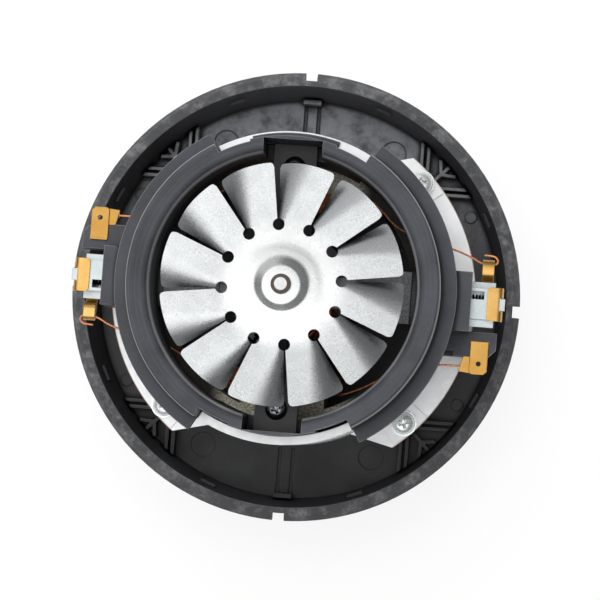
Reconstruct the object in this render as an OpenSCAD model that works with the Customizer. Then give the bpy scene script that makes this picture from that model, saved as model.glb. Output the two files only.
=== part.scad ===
/* [Dish] */
// Outer radius of the rim
rim_r = 83; // [81:0.5:90]
// Width of the flat top of the rim
rim_w = 5; // [4:0.5:7]
// Height of the rim flange
rim_h = 5; // [3:0.5:8]
// Depth of the dish from the rim to its floor
dish_depth = 22; // [18:0.5:28]
// How far the wall leans in from the rim to the floor
dish_draft = 3; // [1:0.5:4]
// Thickness of the dish floor
dish_floor = 3; // [2:0.5:4]
// Thickness of the dish wall
dish_wall = 2.5; // [2:0.5:3.5]
// Width of each rim notch
notch_w = 4.4; // [3:0.2:8]
// Depth of each rim notch
notch_d = 3; // [1:0.2:3.6]
// Thickness of the floor ribs
rib_t = 1.2; // [1:0.1:1.6]
// Height of the floor ribs
rib_h = 6; // [3:0.5:10]
// Diameter of the four screw pillars
pillar_d = 9; // [7:0.5:10]

/* [Fan chamber] */
// Outer radius of the chamber skirt under the dish
skirt_r = 70; // [68:0.5:72]
// Thickness of the skirt
skirt_t = 3; // [2:0.5:4]
// Height of the skirt
skirt_h = 15; // [14:0.5:20]
// Number of discharge windows
window_count = 18; // [8:1:22]
// Width of a discharge window
window_w = 15; // [8:0.5:16]
// Thickness of the pressed cover
cover_t = 1; // [0.8:0.1:1.5]
// Height of the cover's flat bottom below its shoulder
cover_step = 4; // [3:0.5:6]
// Radius of the cover's flat bottom
cover_flat_r = 58; // [52:0.5:60]
// Height of the cover's side wall
cover_wall_h = 6; // [4:0.5:7]
// Radius of the inlet eye
eye_r = 24; // [18:0.5:26]
// Height of the inlet eye's lip
eye_lip = 4; // [3:0.5:5]

/* [Motor bracket] */
// Outer radius of the cup
cup_r = 55; // [54.5:0.5:57]
// Thickness of the cup wall
cup_t = 3; // [2:0.25:3.5]
// Thickness of the cup floor
cup_floor = 3; // [2:0.5:4]
// Radius of the ears
ear_r = 66.7; // [65.5:0.5:70]
// Thickness of the ears
ear_t = 2.5; // [2:0.25:4]
// Height of the ears above the rim
ear_lift = 6.5; // [4:0.5:8]
// Half angle of an ear
ear_half = 52.7; // [50:0.5:56]
// Slope of an ear's end edge
ear_slope = 13.7; // [5:0.5:20]
// Radius of the circle of ear screws
ear_screw_r = 62; // [61:0.25:63]
// Half angle of the towers that hold the upper frame
tower_half = 29.5; // [24:0.5:32]

/* [Field] */
// Height of the field core
core_h = 25; // [20:0.5:30]
// Height of the posts under the field core
core_stand = 16; // [15:0.5:20]
// Thickness of the yoke
yoke_t = 8; // [6:0.5:9]
// Width of a pole
pole_w = 30; // [26:0.5:31]
// Thickness of a pole shoe
shoe_t = 4.3; // [3:0.1:5]
// Half angle of a pole shoe
shoe_half = 58; // [45:1:64]
// Gap between armature and pole shoe
air_gap = 0.7; // [0.5:0.05:1]
// Diameter of the coil wire bundle
coil_wire = 1.4; // [0.8:0.1:1.5]
// Distance between neighbouring loops of a coil
coil_step = 2.1; // [2.1:0.05:2.3]
// Diameter of the through bolts
bolt_d = 4; // [3:0.5:5]
// Distance of the through bolts from the shaft
bolt_r = 42.5; // [42:0.25:43]

/* [Rotor] */
// Diameter of the shaft
shaft_d = 8; // [7.6:0.2:8.4]
// Diameter of the shaft at the cooling fan
shaft_top_d = 7; // [5:0.5:7]
// Radius of the armature
armature_r = 22; // [20:0.5:22.5]
// Number of armature slots and commutator bars
slot_count = 22; // [12:1:24]
// Radius of the commutator
commutator_r = 12.5; // [12:0.25:13]
// Height of the commutator
commutator_h = 15; // [14:0.5:15.5]

/* [Cooling fan] */
// Radius of the cooling fan
fan_r = 42; // [36:0.5:43]
// Number of blades
fan_blades = 12; // [8:1:14]
// Thickness of the fan sheet
fan_sheet = 0.8; // [0.6:0.1:1.2]
// Radius of the circle of relief holes
fan_hole_r = 20.7; // [19:0.5:24]
// Diameter of a relief hole
fan_hole_d = 4.1; // [3:0.1:5]
// Drop of a blade's bent edge at its tip
fan_drop = 6; // [3:0.5:7]
// Gap between blades at the relief holes
fan_slit = 0.9; // [0.5:0.1:1.5]

/* [Working fan] */
// Radius of the working fan
impeller_r = 62; // [56:0.5:64]
// Thickness of its sheets
impeller_t = 1; // [0.8:0.1:1.2]
// Height of the vanes
vane_h = 8; // [7:0.5:9]
// Number of vanes
vane_count = 7; // [5:1:9]
// Angle by which a vane sweeps back
vane_sweep = 70; // [40:5:90]

/* [Upper frame] */
// Radius of the bore round the cooling fan
bore_r = 46.3; // [45:0.25:47]
// Outer radius of the raised ring
ring_r = 54.5; // [53.5:0.25:56]
// Height of the raised ring above the flange
ring_h = 13; // [9:0.5:16]
// Radius of the flange
flange_r = 60; // [58:0.5:62]
// Thickness of the flange
flange_t = 5; // [3:0.5:6]
// Half angle of a flange sector
flange_half = 60; // [54:0.5:60]
// Height of the posts between field core and bearing bridge
post_h = 21; // [20.5:0.5:24]
// Width of the pocket at a through bolt
pocket_w = 20.5; // [17:0.5:24]
// Width of a brush block
block_w = 20.8; // [19:0.2:22]
// Width of the hood over a brush holder
hood_w = 18.4; // [15:0.2:19]
// Outer end of a brush block
block_x = 65; // [62:0.5:66]
// Outer end of a terminal arm
arm_x = 75; // [74:0.5:77]
// Width of a terminal arm
arm_w = 9; // [8:0.2:9.6]

/* [Bearing bridge] */
// Width of the bridge
bridge_w = 15; // [12:0.5:17]
// Thickness of the bridge
bridge_t = 5; // [4:0.5:6]
// Radius of the bearing boss
bridge_boss_r = 13; // [12:0.5:15]

/* [Brush gear] */
// Width of a carbon brush
brush_w = 9.2; // [7:0.2:9.6]
// Height of a carbon brush
brush_h = 7.2; // [6:0.2:7.6]
// Length of a carbon brush
brush_l = 30; // [24:0.5:32]
// Sheet thickness of a brush holder
holder_t = 0.6; // [0.5:0.1:0.8]
// Distance of a holder's outer end from the shaft
holder_x = 75.4; // [75:0.2:77]
// Width across a holder's side lips
lip_w = 16; // [14:0.5:17]
// Wire diameter of a brush spring
spring_wire = 0.7; // [0.5:0.1:0.8]
// Outer diameter of a brush spring
spring_d = 6.8; // [5:0.2:7]
// Number of curls of a brush spring
spring_curls = 13; // [8:1:16]
// Width of a supply tab
tab_w = 6.3; // [4.8:0.1:6.3]
// Thickness of the brass sheet
brass_t = 0.8; // [0.5:0.1:0.8]
// Diameter of the copper leads
lead_d = 0.7; // [0.6:0.1:1.1]

/* [Hidden] */
$fn = 64;

eps = 0.01;
cut = 1;
fit = 0.1;
slide = 0.3;

// Heights, from the flat bottom of the fan cover upwards
wall_lift = 1;
flange_lift = 4;
tower_lift = 3;
shoulder_z = cover_step + cover_t;
floor_under_z = shoulder_z + skirt_h;
floor_z = floor_under_z + dish_floor;
rim_z = floor_z + dish_depth;
cup_z = floor_z + cup_floor;
ear_z = rim_z + ear_lift;
ear_top_z = ear_z + ear_t;
core_z = cup_z + core_stand;
core_top_z = core_z + core_h;
wall_z = core_top_z + wall_lift;
bridge_z = core_top_z + post_h;
bridge_top_z = bridge_z + bridge_t;
flange_z = bridge_z + flange_lift;
flange_top_z = flange_z + flange_t;
ring_z = flange_top_z + ring_h;
tower_z = flange_z + tower_lift;

// Bearings: bore, outside, width and ball size of the two standard sizes
upper_bearing = [shaft_top_d, 19, 6, 3.9];
lower_bearing = [shaft_d, 22, 7, 3.9];
ball_count = 7;
race_clear = 0.06;
ring_wall = 2;
bearing_shelf = 1.5;
lower_bearing_z = cup_z + bearing_shelf;
lower_boss_r = lower_bearing[1] / 2 + 4;
boss_over = 0.5;
washer_t = 0.8;
upper_bearing_z = bridge_top_z + 1.5;
boss_top_z = upper_bearing_z + upper_bearing[2] + 1;

// Dish
wall_top_r = rim_r - rim_w;
wall_floor_r = wall_top_r - dish_draft;
floor_hole_r = 9;
pillar_hole_r = 1.6;
diagonals = [45, 135, 225, 315];
rib_gap = 1.2;
gusset_l = 5.5;
gusset_in = 4;
gusset_turn = 50;
strip_w = 3.4;
groove_w = 1.5;
groove_d = 0.8;
strip_block_w = 6.8;
strip_block_d = 1.7;
ledge_l = 6;
ledge_d = 1.2;
ledge_t = 1.2;
ledge_angles = [21, -21, 64, -64];
large_mark_r = 4.8;
large_mark_at = [wall_floor_r - 9.5, 29];
small_mark_r = 2.1;
small_mark_at = [wall_floor_r - 3.2, 29.5];
mark_h = 0.5;
window_h = skirt_h - cover_wall_h - 2;

// Bracket and field
cup_in_r = cup_r - cup_t;
core_r = cup_in_r - 0.2;
yoke_in_r = core_r - yoke_t;
shoe_r = armature_r + air_gap;
shoe_out_r = shoe_r + shoe_t;
stand_r = 5.5;
bolt_hole_r = bolt_d / 2 + 0.3;
cup_window_h = 14;
cup_window_lift = 4;
cup_window_half = 24;
bracket_screw_d = 4;
bracket_screw_l = 14;
screw_head_d = 8.3;
screw_head_h = 2.6;
flat_washer_d = 9.5;
flat_washer_t = 0.8;
pad_inset = 0.8;
pad_half = ear_half - 45 - pad_inset;
pad_h = 0.5;
pad_edge = 0.6;
bolt_head_d = 7.8;
bolt_head_h = 2.8;

// Coil: four layers of two and a half turns, each climb taking half a turn
coil_gap = 0.6;
coil_layers = 4;
layer_turns = 2.5;
climb_turns = 0.5;
loop_rings = 20;
corner_rings = 5;
wound_sides = 6;
coil_corner = 2.2;
coil_in = coil_gap + coil_wire / 2;
coil_a = pole_w / 2 + coil_in;
coil_b = core_h / 2 + coil_in;
coil_mid_z = core_z + core_h / 2;
coil_y = shoe_out_r + 2.3;
coil_turns = coil_layers * layer_turns + (coil_layers - 1) * climb_turns;
coil_end_z = coil_mid_z + coil_b + layer_turns * coil_step + coil_wire;

// Rotor
armature_z = core_z + 0.5;
armature_h = core_h - 1;
slot_w = 2.6;
slot_mouth = 1.2;
slot_in_r = 12;
slot_out_r = armature_r - 1.6;
wind_clear = 0.15;
end_turn_h = 4.5;
commutator_z = bridge_z - 1 - commutator_h;
brush_z = commutator_z + commutator_h / 2 + 0.5;
bar_gap = 0.5;
bar_t = 3.2;
riser_r = commutator_r + 1.6;
riser_h = 2;
shaft_z = shoulder_z + 1;
shaft_step_z = upper_bearing_z;
fan_lift = 3;
fan_z = ring_z + fan_lift;
fan_phase = 7;
blade_rise = 1.2;
bend_start = 0.4;
bend_power = 1.7;
fan_step_r = 12.6;
fan_step_h = 0.3;
fan_boss_r = 9.5;
fan_boss_top_r = 6.7;
fan_boss_h = 2;
shaft_over = 3;
shaft_top_z = fan_z + fan_boss_h + shaft_over;
shaft_chamfer = 1.3;
fan_sleeve_r = 6;

// Working fan, from the nut up to the spacer under the lower bearing
shroud_z = shoulder_z + 1.5;
vane_z = shroud_z + impeller_t;
back_z = vane_z + vane_h;
impeller_eye_r = eye_r + 3;
vane_in_r = impeller_eye_r + 2;
vane_t = 1;
clamp_washer_t = 1.5;
clamp_washer_r = 10;
nut_h = 5.5;
nut_flats = 13;
spacer_r = 7;

// Upper frame
spigot_r = cup_in_r - 0.2;
spigot_z = bridge_z - 4;
skirt_in_r = cup_in_r - 2;
post_r = 5.8;
leg_half = tower_half - 1.5;
tab_step = 0.7;
tab_half_w = 15;
rear_lip_half = 16.5;
rear_lip_t = 1;
rear_lip_edge = 0.6;
pocket_out = spigot_r - 1.3;
pocket_in = 36;
block_h = 22;
arm_h = 9;
arm_drop = 0.6;
arm_gap = 0.5;
arm_chamfer = 3;
arm_in = 51;
ring_round = 1.4;
ring_steps = 6;
ring_groove_in = 3.2;
ring_groove_r = 0.5;
ring_lip_w = 3.6;
ring_fall = 0.8;
wire_slot_w = 9;
wire_slot_h = 4;
wire_slot_y = 21.5;

// Brush gear, written for the right side and turned half a turn for the left
bore_w = brush_w + 2 * slide;
bore_h = brush_h + 2 * slide;
tube_w = bore_w + 2 * holder_t;
tube_h = bore_h + 2 * holder_t;
holder_in_x = riser_r + 1.4;
hood_t = 1.3;
hood_in_x = holder_in_x + 8.5;
hood_gap = 2.6;
hood_groove_d = 0.8;
hood_top_z = brush_z + tube_h / 2 + fit + hood_t;
lip_t = 1.5;
lip_z = brush_z - tube_h / 2 + 0.5;
brush_x = commutator_r + slide;
brush_end_x = brush_x + brush_l;
slot_y = 2.9;
brush_slot_w = 2.8;
slot_x = [46, 69.5];
tang_w = 4.2;
tang_l = 1.6;
clip_w = tube_w + 0.8;
clip_l = 6.1;
clip_x = holder_x + fit;
arm_y = -(block_w / 2 - arm_gap);
arm_z = brush_z - arm_drop;
tab_x = arm_x - 9;
tab_y = arm_y - 4;
tab_l = 11.8;
tab_hole_d = 1.65;
tab_hole_in = 3.8;
tab_corner = 1.2;
wing_l = 5.4;
wing_w = 6;
barrel_r = 1.1;
terminal_x = [68.2, 72.4];
terminal_y = tube_w / 2 + fit;
crimp_y = 9.8;
terminal_end_y = 15.9;
crimp_h = 2.2;
crimp_z = lip_z + lip_t + brass_t + crimp_h / 2;
spring_rings = 8;
wire_sides = 8;

// Lead routes: from the brass crimps, through the frame's wire slots, down to the coil ends
supply_barrel_z = arm_z + fit - barrel_r + 0.2;
supply_route = [
    [tab_x - wing_l, tab_y - tab_l + wing_w / 2, supply_barrel_z],
    [58, -22.4, supply_barrel_z],
    [52, -22.8, supply_barrel_z + 0.3],
    [45, -24, supply_barrel_z + 0.5],
    [37, -28, supply_barrel_z],
    [29, -32.6, supply_barrel_z - 0.6],
    [24, -34.8, supply_barrel_z - 1.6]
];
brush_route = [
    [terminal_x[1] + 1, 14.4, crimp_z],
    [terminal_x[0] - 0.5, 14.6, crimp_z],
    [63.5, 16.6, crimp_z + 0.1],
    [58, 18.6, crimp_z + 0.2],
    [50, 20.6, crimp_z + 0.2],
    [43, 22.5, crimp_z],
    [34, 25.8, crimp_z - 0.6],
    [26.5, 28.2, crimp_z - 1.4]
];

function unit(v) = v / norm(v);
function last(list) = list[len(list) - 1];

// Direction of a path at point i
function heading(p, i) = unit(p[min(i + 1, len(p) - 1)] - p[max(i - 1, 0)]);

// Round tube along a path, with one reference direction for each point
module tube(path, refs, r, sides) {
    rings = len(path);
    points = [
        for (i = [0 : rings - 1])
            let (
                t = heading(path, i),
                side = unit(cross(t, refs[i])),
                up = cross(side, t)
            )
            for (k = [0 : sides - 1]) path[i] + r * (cos(360 * k / sides) * up + sin(360 * k / sides) * side)
    ];
    walls = [
        for (i = [0 : rings - 2], k = [0 : sides - 1])
            let (a = i * sides + k, b = i * sides + (k + 1) % sides)
            each [[a, b, a + sides], [b, b + sides, a + sides]]
    ];
    caps = [
        for (k = [1 : sides - 2])
            each [[0, k + 1, k], [(rings - 1) * sides, (rings - 1) * sides + k, (rings - 1) * sides + k + 1]]
    ];
    polyhedron(points = points, faces = concat(walls, caps));
}

// Least distance between points of a path that are at least apart steps from each other
function least_gap(p, apart) = min([
    for (i = [0 : len(p) - 1 - apart])
        min([for (j = [i + apart : len(p) - 1]) norm(p[i] - p[j])])
]);

module ring(r0, r1, z0, z1) {
    translate([0, 0, z0])
        difference() {
            cylinder(r = r1, h = z1 - z0);
            translate([0, 0, -cut])
                cylinder(r = r0, h = z1 - z0 + 2 * cut);
        }
}

// Flat wedge about an angle, wide enough to cover the whole part
module wedge(angle, half) {
    reach = 2 * rim_r;
    polygon([
        [0, 0],
        reach * [cos(angle - half), sin(angle - half)],
        2 * reach * [cos(angle), sin(angle)],
        reach * [cos(angle + half), sin(angle + half)]
    ]);
}

module sector(r0, r1, z0, z1, angle, half) {
    translate([0, 0, z0])
        linear_extrude(z1 - z0)
            intersection() {
                difference() {
                    circle(r = r1);
                    circle(r = r0);
                }
                wedge(angle, half);
            }
}

module block(x0, x1, y0, y1, z0, z1) {
    translate([x0, y0, z0])
        cube([x1 - x0, y1 - y0, z1 - z0]);
}

module both() {
    children();
    rotate([0, 0, 180])
        children();
}

module flipped() {
    rotate([0, 0, 180])
        children();
}

module cross_recess(d, depth) {
    for (a = [0, 90])
        rotate([0, 0, a])
            block(-d / 2, d / 2, -d / 10, d / 10, -depth, cut);
}

module pan_screw(head_d, head_h, d, length) {
    difference() {
        union() {
            intersection() {
                cylinder(d = head_d, h = head_h);
                translate([0, 0, head_h - head_d])
                    sphere(r = head_d);
            }
            translate([0, 0, -length])
                cylinder(d = d, h = length + eps);
        }
        translate([0, 0, head_h])
            cross_recess(head_d * 0.55, head_h * 0.6);
    }
}

module floor_rib(length) {
    block(0, length, -rib_t / 2, rib_t / 2, floor_z - cut, floor_z + rib_h);
}

// Pillar at each diagonal, with a double rib to each side, one rib outwards and two short gussets
module dish_ribs() {
    for (a = diagonals) {
        rotate([0, 0, a]) {
            translate([ear_screw_r, 0, floor_z - cut])
                cylinder(d = pillar_d, h = ear_z - floor_z + cut);
            intersection() {
                union() {
                    translate([ear_screw_r, 0, 0]) {
                        floor_rib(rim_r);
                        for (turn = [-45, 45], side = [-1, 1])
                            rotate([0, 0, turn])
                                translate([0, side * (rib_gap + rib_t) / 2, 0])
                                    floor_rib(rim_r);
                    }
                    for (side = [-1, 1])
                        translate([wall_floor_r - gusset_in, 0, 0])
                            rotate([0, 0, side * gusset_turn])
                                floor_rib(gusset_l);
                }
                ring(ear_screw_r - 2, wall_floor_r + eps, floor_z - cut, floor_z + rib_h);
            }
        }
    }
}

module base_housing() {
    color("#2b2c2f")
        difference() {
            union() {
                rotate_extrude()
                    polygon([
                        [floor_hole_r, floor_under_z],
                        [wall_floor_r + dish_wall, floor_under_z],
                        [wall_top_r + dish_wall, rim_z - rim_h],
                        [rim_r - 1, rim_z - rim_h],
                        [rim_r, rim_z - rim_h + 1],
                        [rim_r, rim_z - 2],
                        [rim_r - 1.6, rim_z],
                        [wall_top_r, rim_z],
                        [wall_floor_r, floor_z],
                        [floor_hole_r, floor_z]
                    ]);
                ring(skirt_r - skirt_t, skirt_r, shoulder_z, floor_under_z + eps);
                dish_ribs();
                for (base = [90, 270]) {
                    rotate([0, 0, base])
                        block(wall_floor_r - strip_block_d, wall_floor_r + eps, -strip_block_w / 2,
                            strip_block_w / 2, floor_z - cut, floor_z + rib_h);
                    for (a = ledge_angles)
                        rotate([0, 0, base + a])
                            block(wall_top_r - ledge_d - 1, wall_top_r + eps, -ledge_l / 2, ledge_l / 2,
                                rim_z - 8, rim_z - 8 + ledge_t);
                }
                for (base = [0, 180], side = [-1, 1])
                    rotate([0, 0, base + side * small_mark_at[1]])
                        translate([small_mark_at[0], 0, floor_z - cut])
                            cylinder(r = small_mark_r, h = mark_h + cut);
            }
            for (k = [0 : 3])
                rotate([0, 0, 90 * k])
                    block(rim_r - notch_d, rim_r + cut, -notch_w / 2, notch_w / 2,
                        rim_z - rim_h - cut, rim_z + cut);
            for (k = [0 : window_count - 1])
                rotate([0, 0, 360 * (k + 0.5) / window_count])
                    block(skirt_r - skirt_t - cut, skirt_r + cut, -window_w / 2, window_w / 2,
                        floor_under_z - 1 - window_h, floor_under_z - 1);
            for (base = [90, 270]) {
                for (side = [-1, 1])
                    rotate([0, 0, base])
                        translate([0, side * (strip_w + groove_w) / 2, 0])
                            block(cup_r + 1, wall_floor_r - strip_block_d, -groove_w / 2, groove_w / 2,
                                floor_z - groove_d, floor_z + cut);
                for (side = [-1, 1])
                    rotate([0, 0, base + side * large_mark_at[1]])
                        translate([large_mark_at[0], 0, floor_z - mark_h])
                            cylinder(r = large_mark_r, h = mark_h + cut);
            }
            for (a = diagonals)
                rotate([0, 0, a])
                    translate([ear_screw_r, 0, floor_z])
                        cylinder(r = pillar_hole_r, h = ear_z - floor_z + cut);
        }
}

module fan_cover() {
    color("#c4c6c8")
        rotate_extrude()
            polygon([
                [eye_r, 0],
                [cover_flat_r, 0],
                [cover_flat_r + 2, cover_step],
                [skirt_r + fit + cover_t, cover_step],
                [skirt_r + fit + cover_t, shoulder_z + cover_wall_h],
                [skirt_r + fit, shoulder_z + cover_wall_h],
                [skirt_r + fit, shoulder_z],
                [cover_flat_r + 1.4, shoulder_z],
                [cover_flat_r - 0.6, cover_t],
                [eye_r + cover_t, cover_t],
                [eye_r + cover_t, eye_lip],
                [eye_r, eye_lip]
            ]);
}

module ear_outline() {
    run = [1, tan(ear_slope)];
    corner = ear_r * [cos(ear_half), sin(ear_half)];
    inner = corner - (corner[0] - cup_in_r * 0.3) * run;
    outer = corner + ear_r * run;
    difference() {
        intersection() {
            circle(r = ear_r);
            polygon([outer, inner, [inner[0], -inner[1]], [outer[0], -outer[1]]]);
        }
        circle(r = cup_in_r + cup_t / 3);
    }
}

module motor_bracket() {
    boss_z = lower_bearing_z + lower_bearing[2] + boss_over;
    window_z = cup_z + cup_window_lift;
    bearing_r = lower_bearing[1] / 2;
    hole_r = floor_hole_r + boss_over;
    color("#c9cbcc")
        difference() {
            union() {
                rotate_extrude()
                    polygon([
                        [hole_r, floor_z], [cup_r, floor_z], [cup_r, tower_z], [cup_in_r, tower_z],
                        [cup_in_r, cup_z], [lower_boss_r, cup_z], [lower_boss_r, boss_z], [bearing_r, boss_z],
                        [bearing_r, lower_bearing_z], [hole_r, lower_bearing_z]
                    ]);
                both()
                    translate([0, 0, ear_z])
                        linear_extrude(ear_t)
                            ear_outline();
                for (a = diagonals)
                    sector(cup_r - 1, ear_r - pad_edge, ear_z + ear_t / 2, ear_top_z + pad_h, a, pad_half);
                both()
                    translate([0, bolt_r, cup_z - cup_floor / 2])
                        cylinder(r = stand_r, h = core_stand + cup_floor / 2);
            }
            both()
                translate([0, 0, wall_z])
                    linear_extrude(tower_z - wall_z + cut)
                        wedge(0, 90 - tower_half);
            both()
                sector(cup_in_r - cut, cup_r + cut, window_z, window_z + cup_window_h, 0, cup_window_half);
            both()
                translate([0, bolt_r, cup_z])
                    cylinder(d = bolt_d, h = core_stand + cut);
            for (a = diagonals)
                rotate([0, 0, a])
                    translate([ear_screw_r, 0, ear_z - cut])
                        cylinder(d = bracket_screw_d + 0.4, h = ear_t + pad_h + 2 * cut);
        }
}

module bracket_screws() {
    color("#dfe2df")
        for (a = diagonals)
            rotate([0, 0, a])
                translate([ear_screw_r, 0, ear_top_z + pad_h + flat_washer_t])
                    pan_screw(screw_head_d, screw_head_h, 2 * pillar_hole_r - fit, bracket_screw_l);
}

module bracket_washers() {
    color("#d3d6d3")
        for (a = diagonals)
            rotate([0, 0, a])
                translate([ear_screw_r, 0, 0])
                    ring(bracket_screw_d / 2 + 0.2, flat_washer_d / 2, ear_top_z + pad_h,
                        ear_top_z + pad_h + flat_washer_t);
}

module core_outline() {
    difference() {
        circle(r = core_r);
        difference() {
            circle(r = yoke_in_r);
            square([pole_w, 2 * core_r], center = true);
            intersection() {
                circle(r = shoe_out_r);
                for (side = [-1, 1])
                    polygon([
                        [0, 0],
                        side * 2 * core_r * [sin(shoe_half), cos(shoe_half)],
                        side * 2 * core_r * [0, 1.5],
                        side * 2 * core_r * [-sin(shoe_half), cos(shoe_half)]
                    ]);
            }
        }
        circle(r = shoe_r);
        for (side = [-1, 1])
            translate([0, side * bolt_r])
                circle(r = bolt_hole_r);
    }
}

module field_core() {
    color("#8d8a80")
        translate([0, 0, core_z])
            linear_extrude(core_h)
                core_outline();
}

// Place in the coil after a number of turns: how far out of the first loop, and in which layer
function layer_of(t) = min(coil_layers - 1, floor(t / (layer_turns + climb_turns)));
function turns_in(t) = t - layer_of(t) * (layer_turns + climb_turns);
function spiral_out(t) =
    let (s = min(turns_in(t), layer_turns))
    coil_step * (layer_of(t) % 2 == 0 ? layer_turns - s : s);
function layer_y(t) =
    coil_y + coil_step * (layer_of(t) + max(0, turns_in(t) - layer_turns) / climb_turns);

function loop_point(i) =
    let (
        t = i / loop_rings,
        step = i % loop_rings,
        corner = floor(step / corner_rings),
        a = -(90 * corner + 90 * (step % corner_rings) / (corner_rings - 1)),
        r = coil_corner + spiral_out(t),
        sx = corner == 0 || corner == 3 ? 1 : -1,
        sz = corner < 2 ? -1 : 1
    )
    [
        sx * (coil_a - coil_corner) + r * cos(a),
        layer_y(t),
        coil_mid_z + sz * (coil_b - coil_corner) + r * sin(a)
    ];

coil_loops = [for (i = [0 : coil_turns * loop_rings]) loop_point(i)];
coil_start = [coil_loops[0][0], coil_loops[0][1], coil_end_z];
coil_stop = [last(coil_loops)[0], last(coil_loops)[1], coil_end_z];

module field_coil() {
    path = concat([coil_start], coil_loops, [coil_stop]);
    echo(coil_self_gap = least_gap(coil_loops, loop_rings / 2) - coil_wire);
    tube(path, [for (p = path) [0, 1, 0]], coil_wire / 2, wound_sides);
}

module field_coil_front() {
    color("#a4552c")
        flipped()
            field_coil();
}

module field_coil_rear() {
    color("#a4552c")
        field_coil();
}

module through_bolts() {
    color("#3a3c40")
        both()
            translate([0, bolt_r, bridge_top_z])
                pan_screw(bolt_head_d, bolt_head_h, bolt_d - 0.05, bridge_top_z - cup_z - 4);
}

// Points along an arc, for a rounded edge in a section
function arc(centre, r, from, to, steps) =
    [for (i = [0 : steps]) let (a = from + (to - from) * i / steps) centre + r * [cos(a), sin(a)]];

// Section of the frame all round, before the sides are cut down to its legs, skirts and flanges
module frame_section() {
    outer = [ring_r - ring_round, ring_z - ring_round];
    inner = [bore_r + ring_lip_w, ring_z - ring_fall - ring_lip_w];
    difference() {
        polygon(concat(
            [
                [bore_r, core_top_z],
                [cup_r, core_top_z],
                [cup_r, flange_z],
                [flange_r, flange_z],
                [flange_r, flange_top_z],
                [ring_r, flange_top_z]
            ],
            arc(outer, ring_round, 0, 90, ring_steps),
            arc(inner, ring_lip_w, 90, 180, ring_steps)
        ));
        translate([ring_r - ring_groove_in, ring_z])
            circle(r = ring_groove_r);
    }
}

// Outside of the frame where it stands inside a tower of the bracket
module tower_side() {
    difference() {
        wedge(90, 90 - flange_half);
        circle(r = spigot_r - tab_step);
        intersection() {
            circle(r = spigot_r);
            square([2 * tab_half_w, 2 * rim_r], center = true);
        }
    }
}

// Space between the frame's legs, inside its skirts
module skirt_side() {
    intersection() {
        wedge(0, 90 - leg_half);
        circle(r = skirt_in_r);
    }
}

module terminal_arm() {
    x1 = arm_x;
    y0 = arm_y - arm_w;
    translate([0, 0, arm_z - arm_h])
        linear_extrude(arm_h)
            polygon([
                [arm_in, arm_y], [arm_in, y0], [x1 - arm_chamfer, y0], [x1, y0 + arm_chamfer], [x1, arm_y]
            ]);
}

module holder_passage() {
    block(bore_r - 4, block_x + cut, -tube_w / 2 - fit, tube_w / 2 + fit,
        brush_z - tube_h / 2 - fit, brush_z + tube_h / 2 + fit);
    block(bore_r - 4, block_x + cut, -lip_w / 2 - fit, lip_w / 2 + fit, lip_z - fit, lip_z + lip_t + fit);
}

// Hood over the inner part of a brush holder, with a low step before the wall of the bore
module brush_hood() {
    foot_z = brush_z - tube_h / 2;
    difference() {
        block(hood_in_x, skirt_in_r + 1, -hood_w / 2, hood_w / 2, foot_z, hood_top_z);
        block(hood_in_x - cut, skirt_in_r + 2, -tube_w / 2 - fit, tube_w / 2 + fit, foot_z - cut,
            hood_top_z - hood_t);
        block(bore_r - hood_gap, bore_r, -hood_w / 2 - cut, hood_w / 2 + cut,
            hood_top_z - hood_groove_d, hood_top_z + cut);
    }
}

module frame_moulding() {
    full_h = ring_z - core_top_z + 2 * cut;
    difference() {
        union() {
            rotate_extrude()
                frame_section();
            both() {
                translate([0, bolt_r, core_top_z])
                    cylinder(r = post_r, h = bridge_z - core_top_z);
                block(skirt_in_r + 1, block_x, -block_w / 2, block_w / 2,
                    flange_z - block_h, flange_z + cut);
                terminal_arm();
            }
        }
        both() {
            translate([0, 0, core_top_z - cut]) {
                linear_extrude(full_h)
                    tower_side();
                linear_extrude(spigot_z - core_top_z + cut)
                    skirt_side();
                linear_extrude(wall_z - core_top_z + cut)
                    wedge(0, flange_half + 0.5);
            }
            block(-pocket_w / 2, pocket_w / 2, pocket_in, pocket_out, bridge_z, ring_z + cut);
            translate([0, bolt_r, core_top_z - cut])
                cylinder(r = bolt_hole_r, h = bridge_z - core_top_z + 2 * cut);
            holder_passage();
            block(tab_x - fit, tab_x + tab_w + fit, tab_y - fit, tab_y + brass_t + fit,
                arm_z - arm_h + 2, arm_z + cut);
            for (side = [-1, 1])
                translate([0, side * wire_slot_y, arm_z])
                    block(bore_r - 10, flange_r, -wire_slot_w / 2, wire_slot_w / 2,
                        -wire_slot_h / 2, wire_slot_h / 2);
        }
    }
}

// The rear tower is covered by a thin lip of the frame, the front one is bare
module upper_frame() {
    color("#323337")
        union() {
            frame_moulding();
            both()
                brush_hood();
            sector(spigot_r - 1, cup_r - rear_lip_edge, tower_z + fit, tower_z + fit + rear_lip_t,
                90, rear_lip_half);
        }
}

module bearing_bridge() {
    color("#2e2f33")
        difference() {
            union() {
                block(-bridge_w / 2, bridge_w / 2, -pocket_out + fit, pocket_out - fit,
                    bridge_z, bridge_top_z);
                translate([0, 0, bridge_z])
                    cylinder(r = bridge_boss_r, h = boss_top_z - bridge_z);
                both()
                    rotate([90, 0, 90])
                        translate([0, 0, -2])
                            linear_extrude(4)
                                polygon([
                                    [bridge_boss_r - 2, bridge_top_z - eps],
                                    [bridge_boss_r - 2, boss_top_z - 2],
                                    [pocket_in - 2, bridge_top_z - eps]
                                ]);
            }
            translate([0, 0, bridge_z - cut])
                cylinder(r = upper_bearing[1] / 2 - 2, h = boss_top_z - bridge_z + 2 * cut);
            translate([0, 0, upper_bearing_z - washer_t])
                cylinder(d = upper_bearing[1], h = boss_top_z - upper_bearing_z + washer_t + cut);
            both()
                translate([0, bolt_r, bridge_z - cut])
                    cylinder(r = bolt_hole_r, h = bridge_t + 2 * cut);
        }
}

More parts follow.
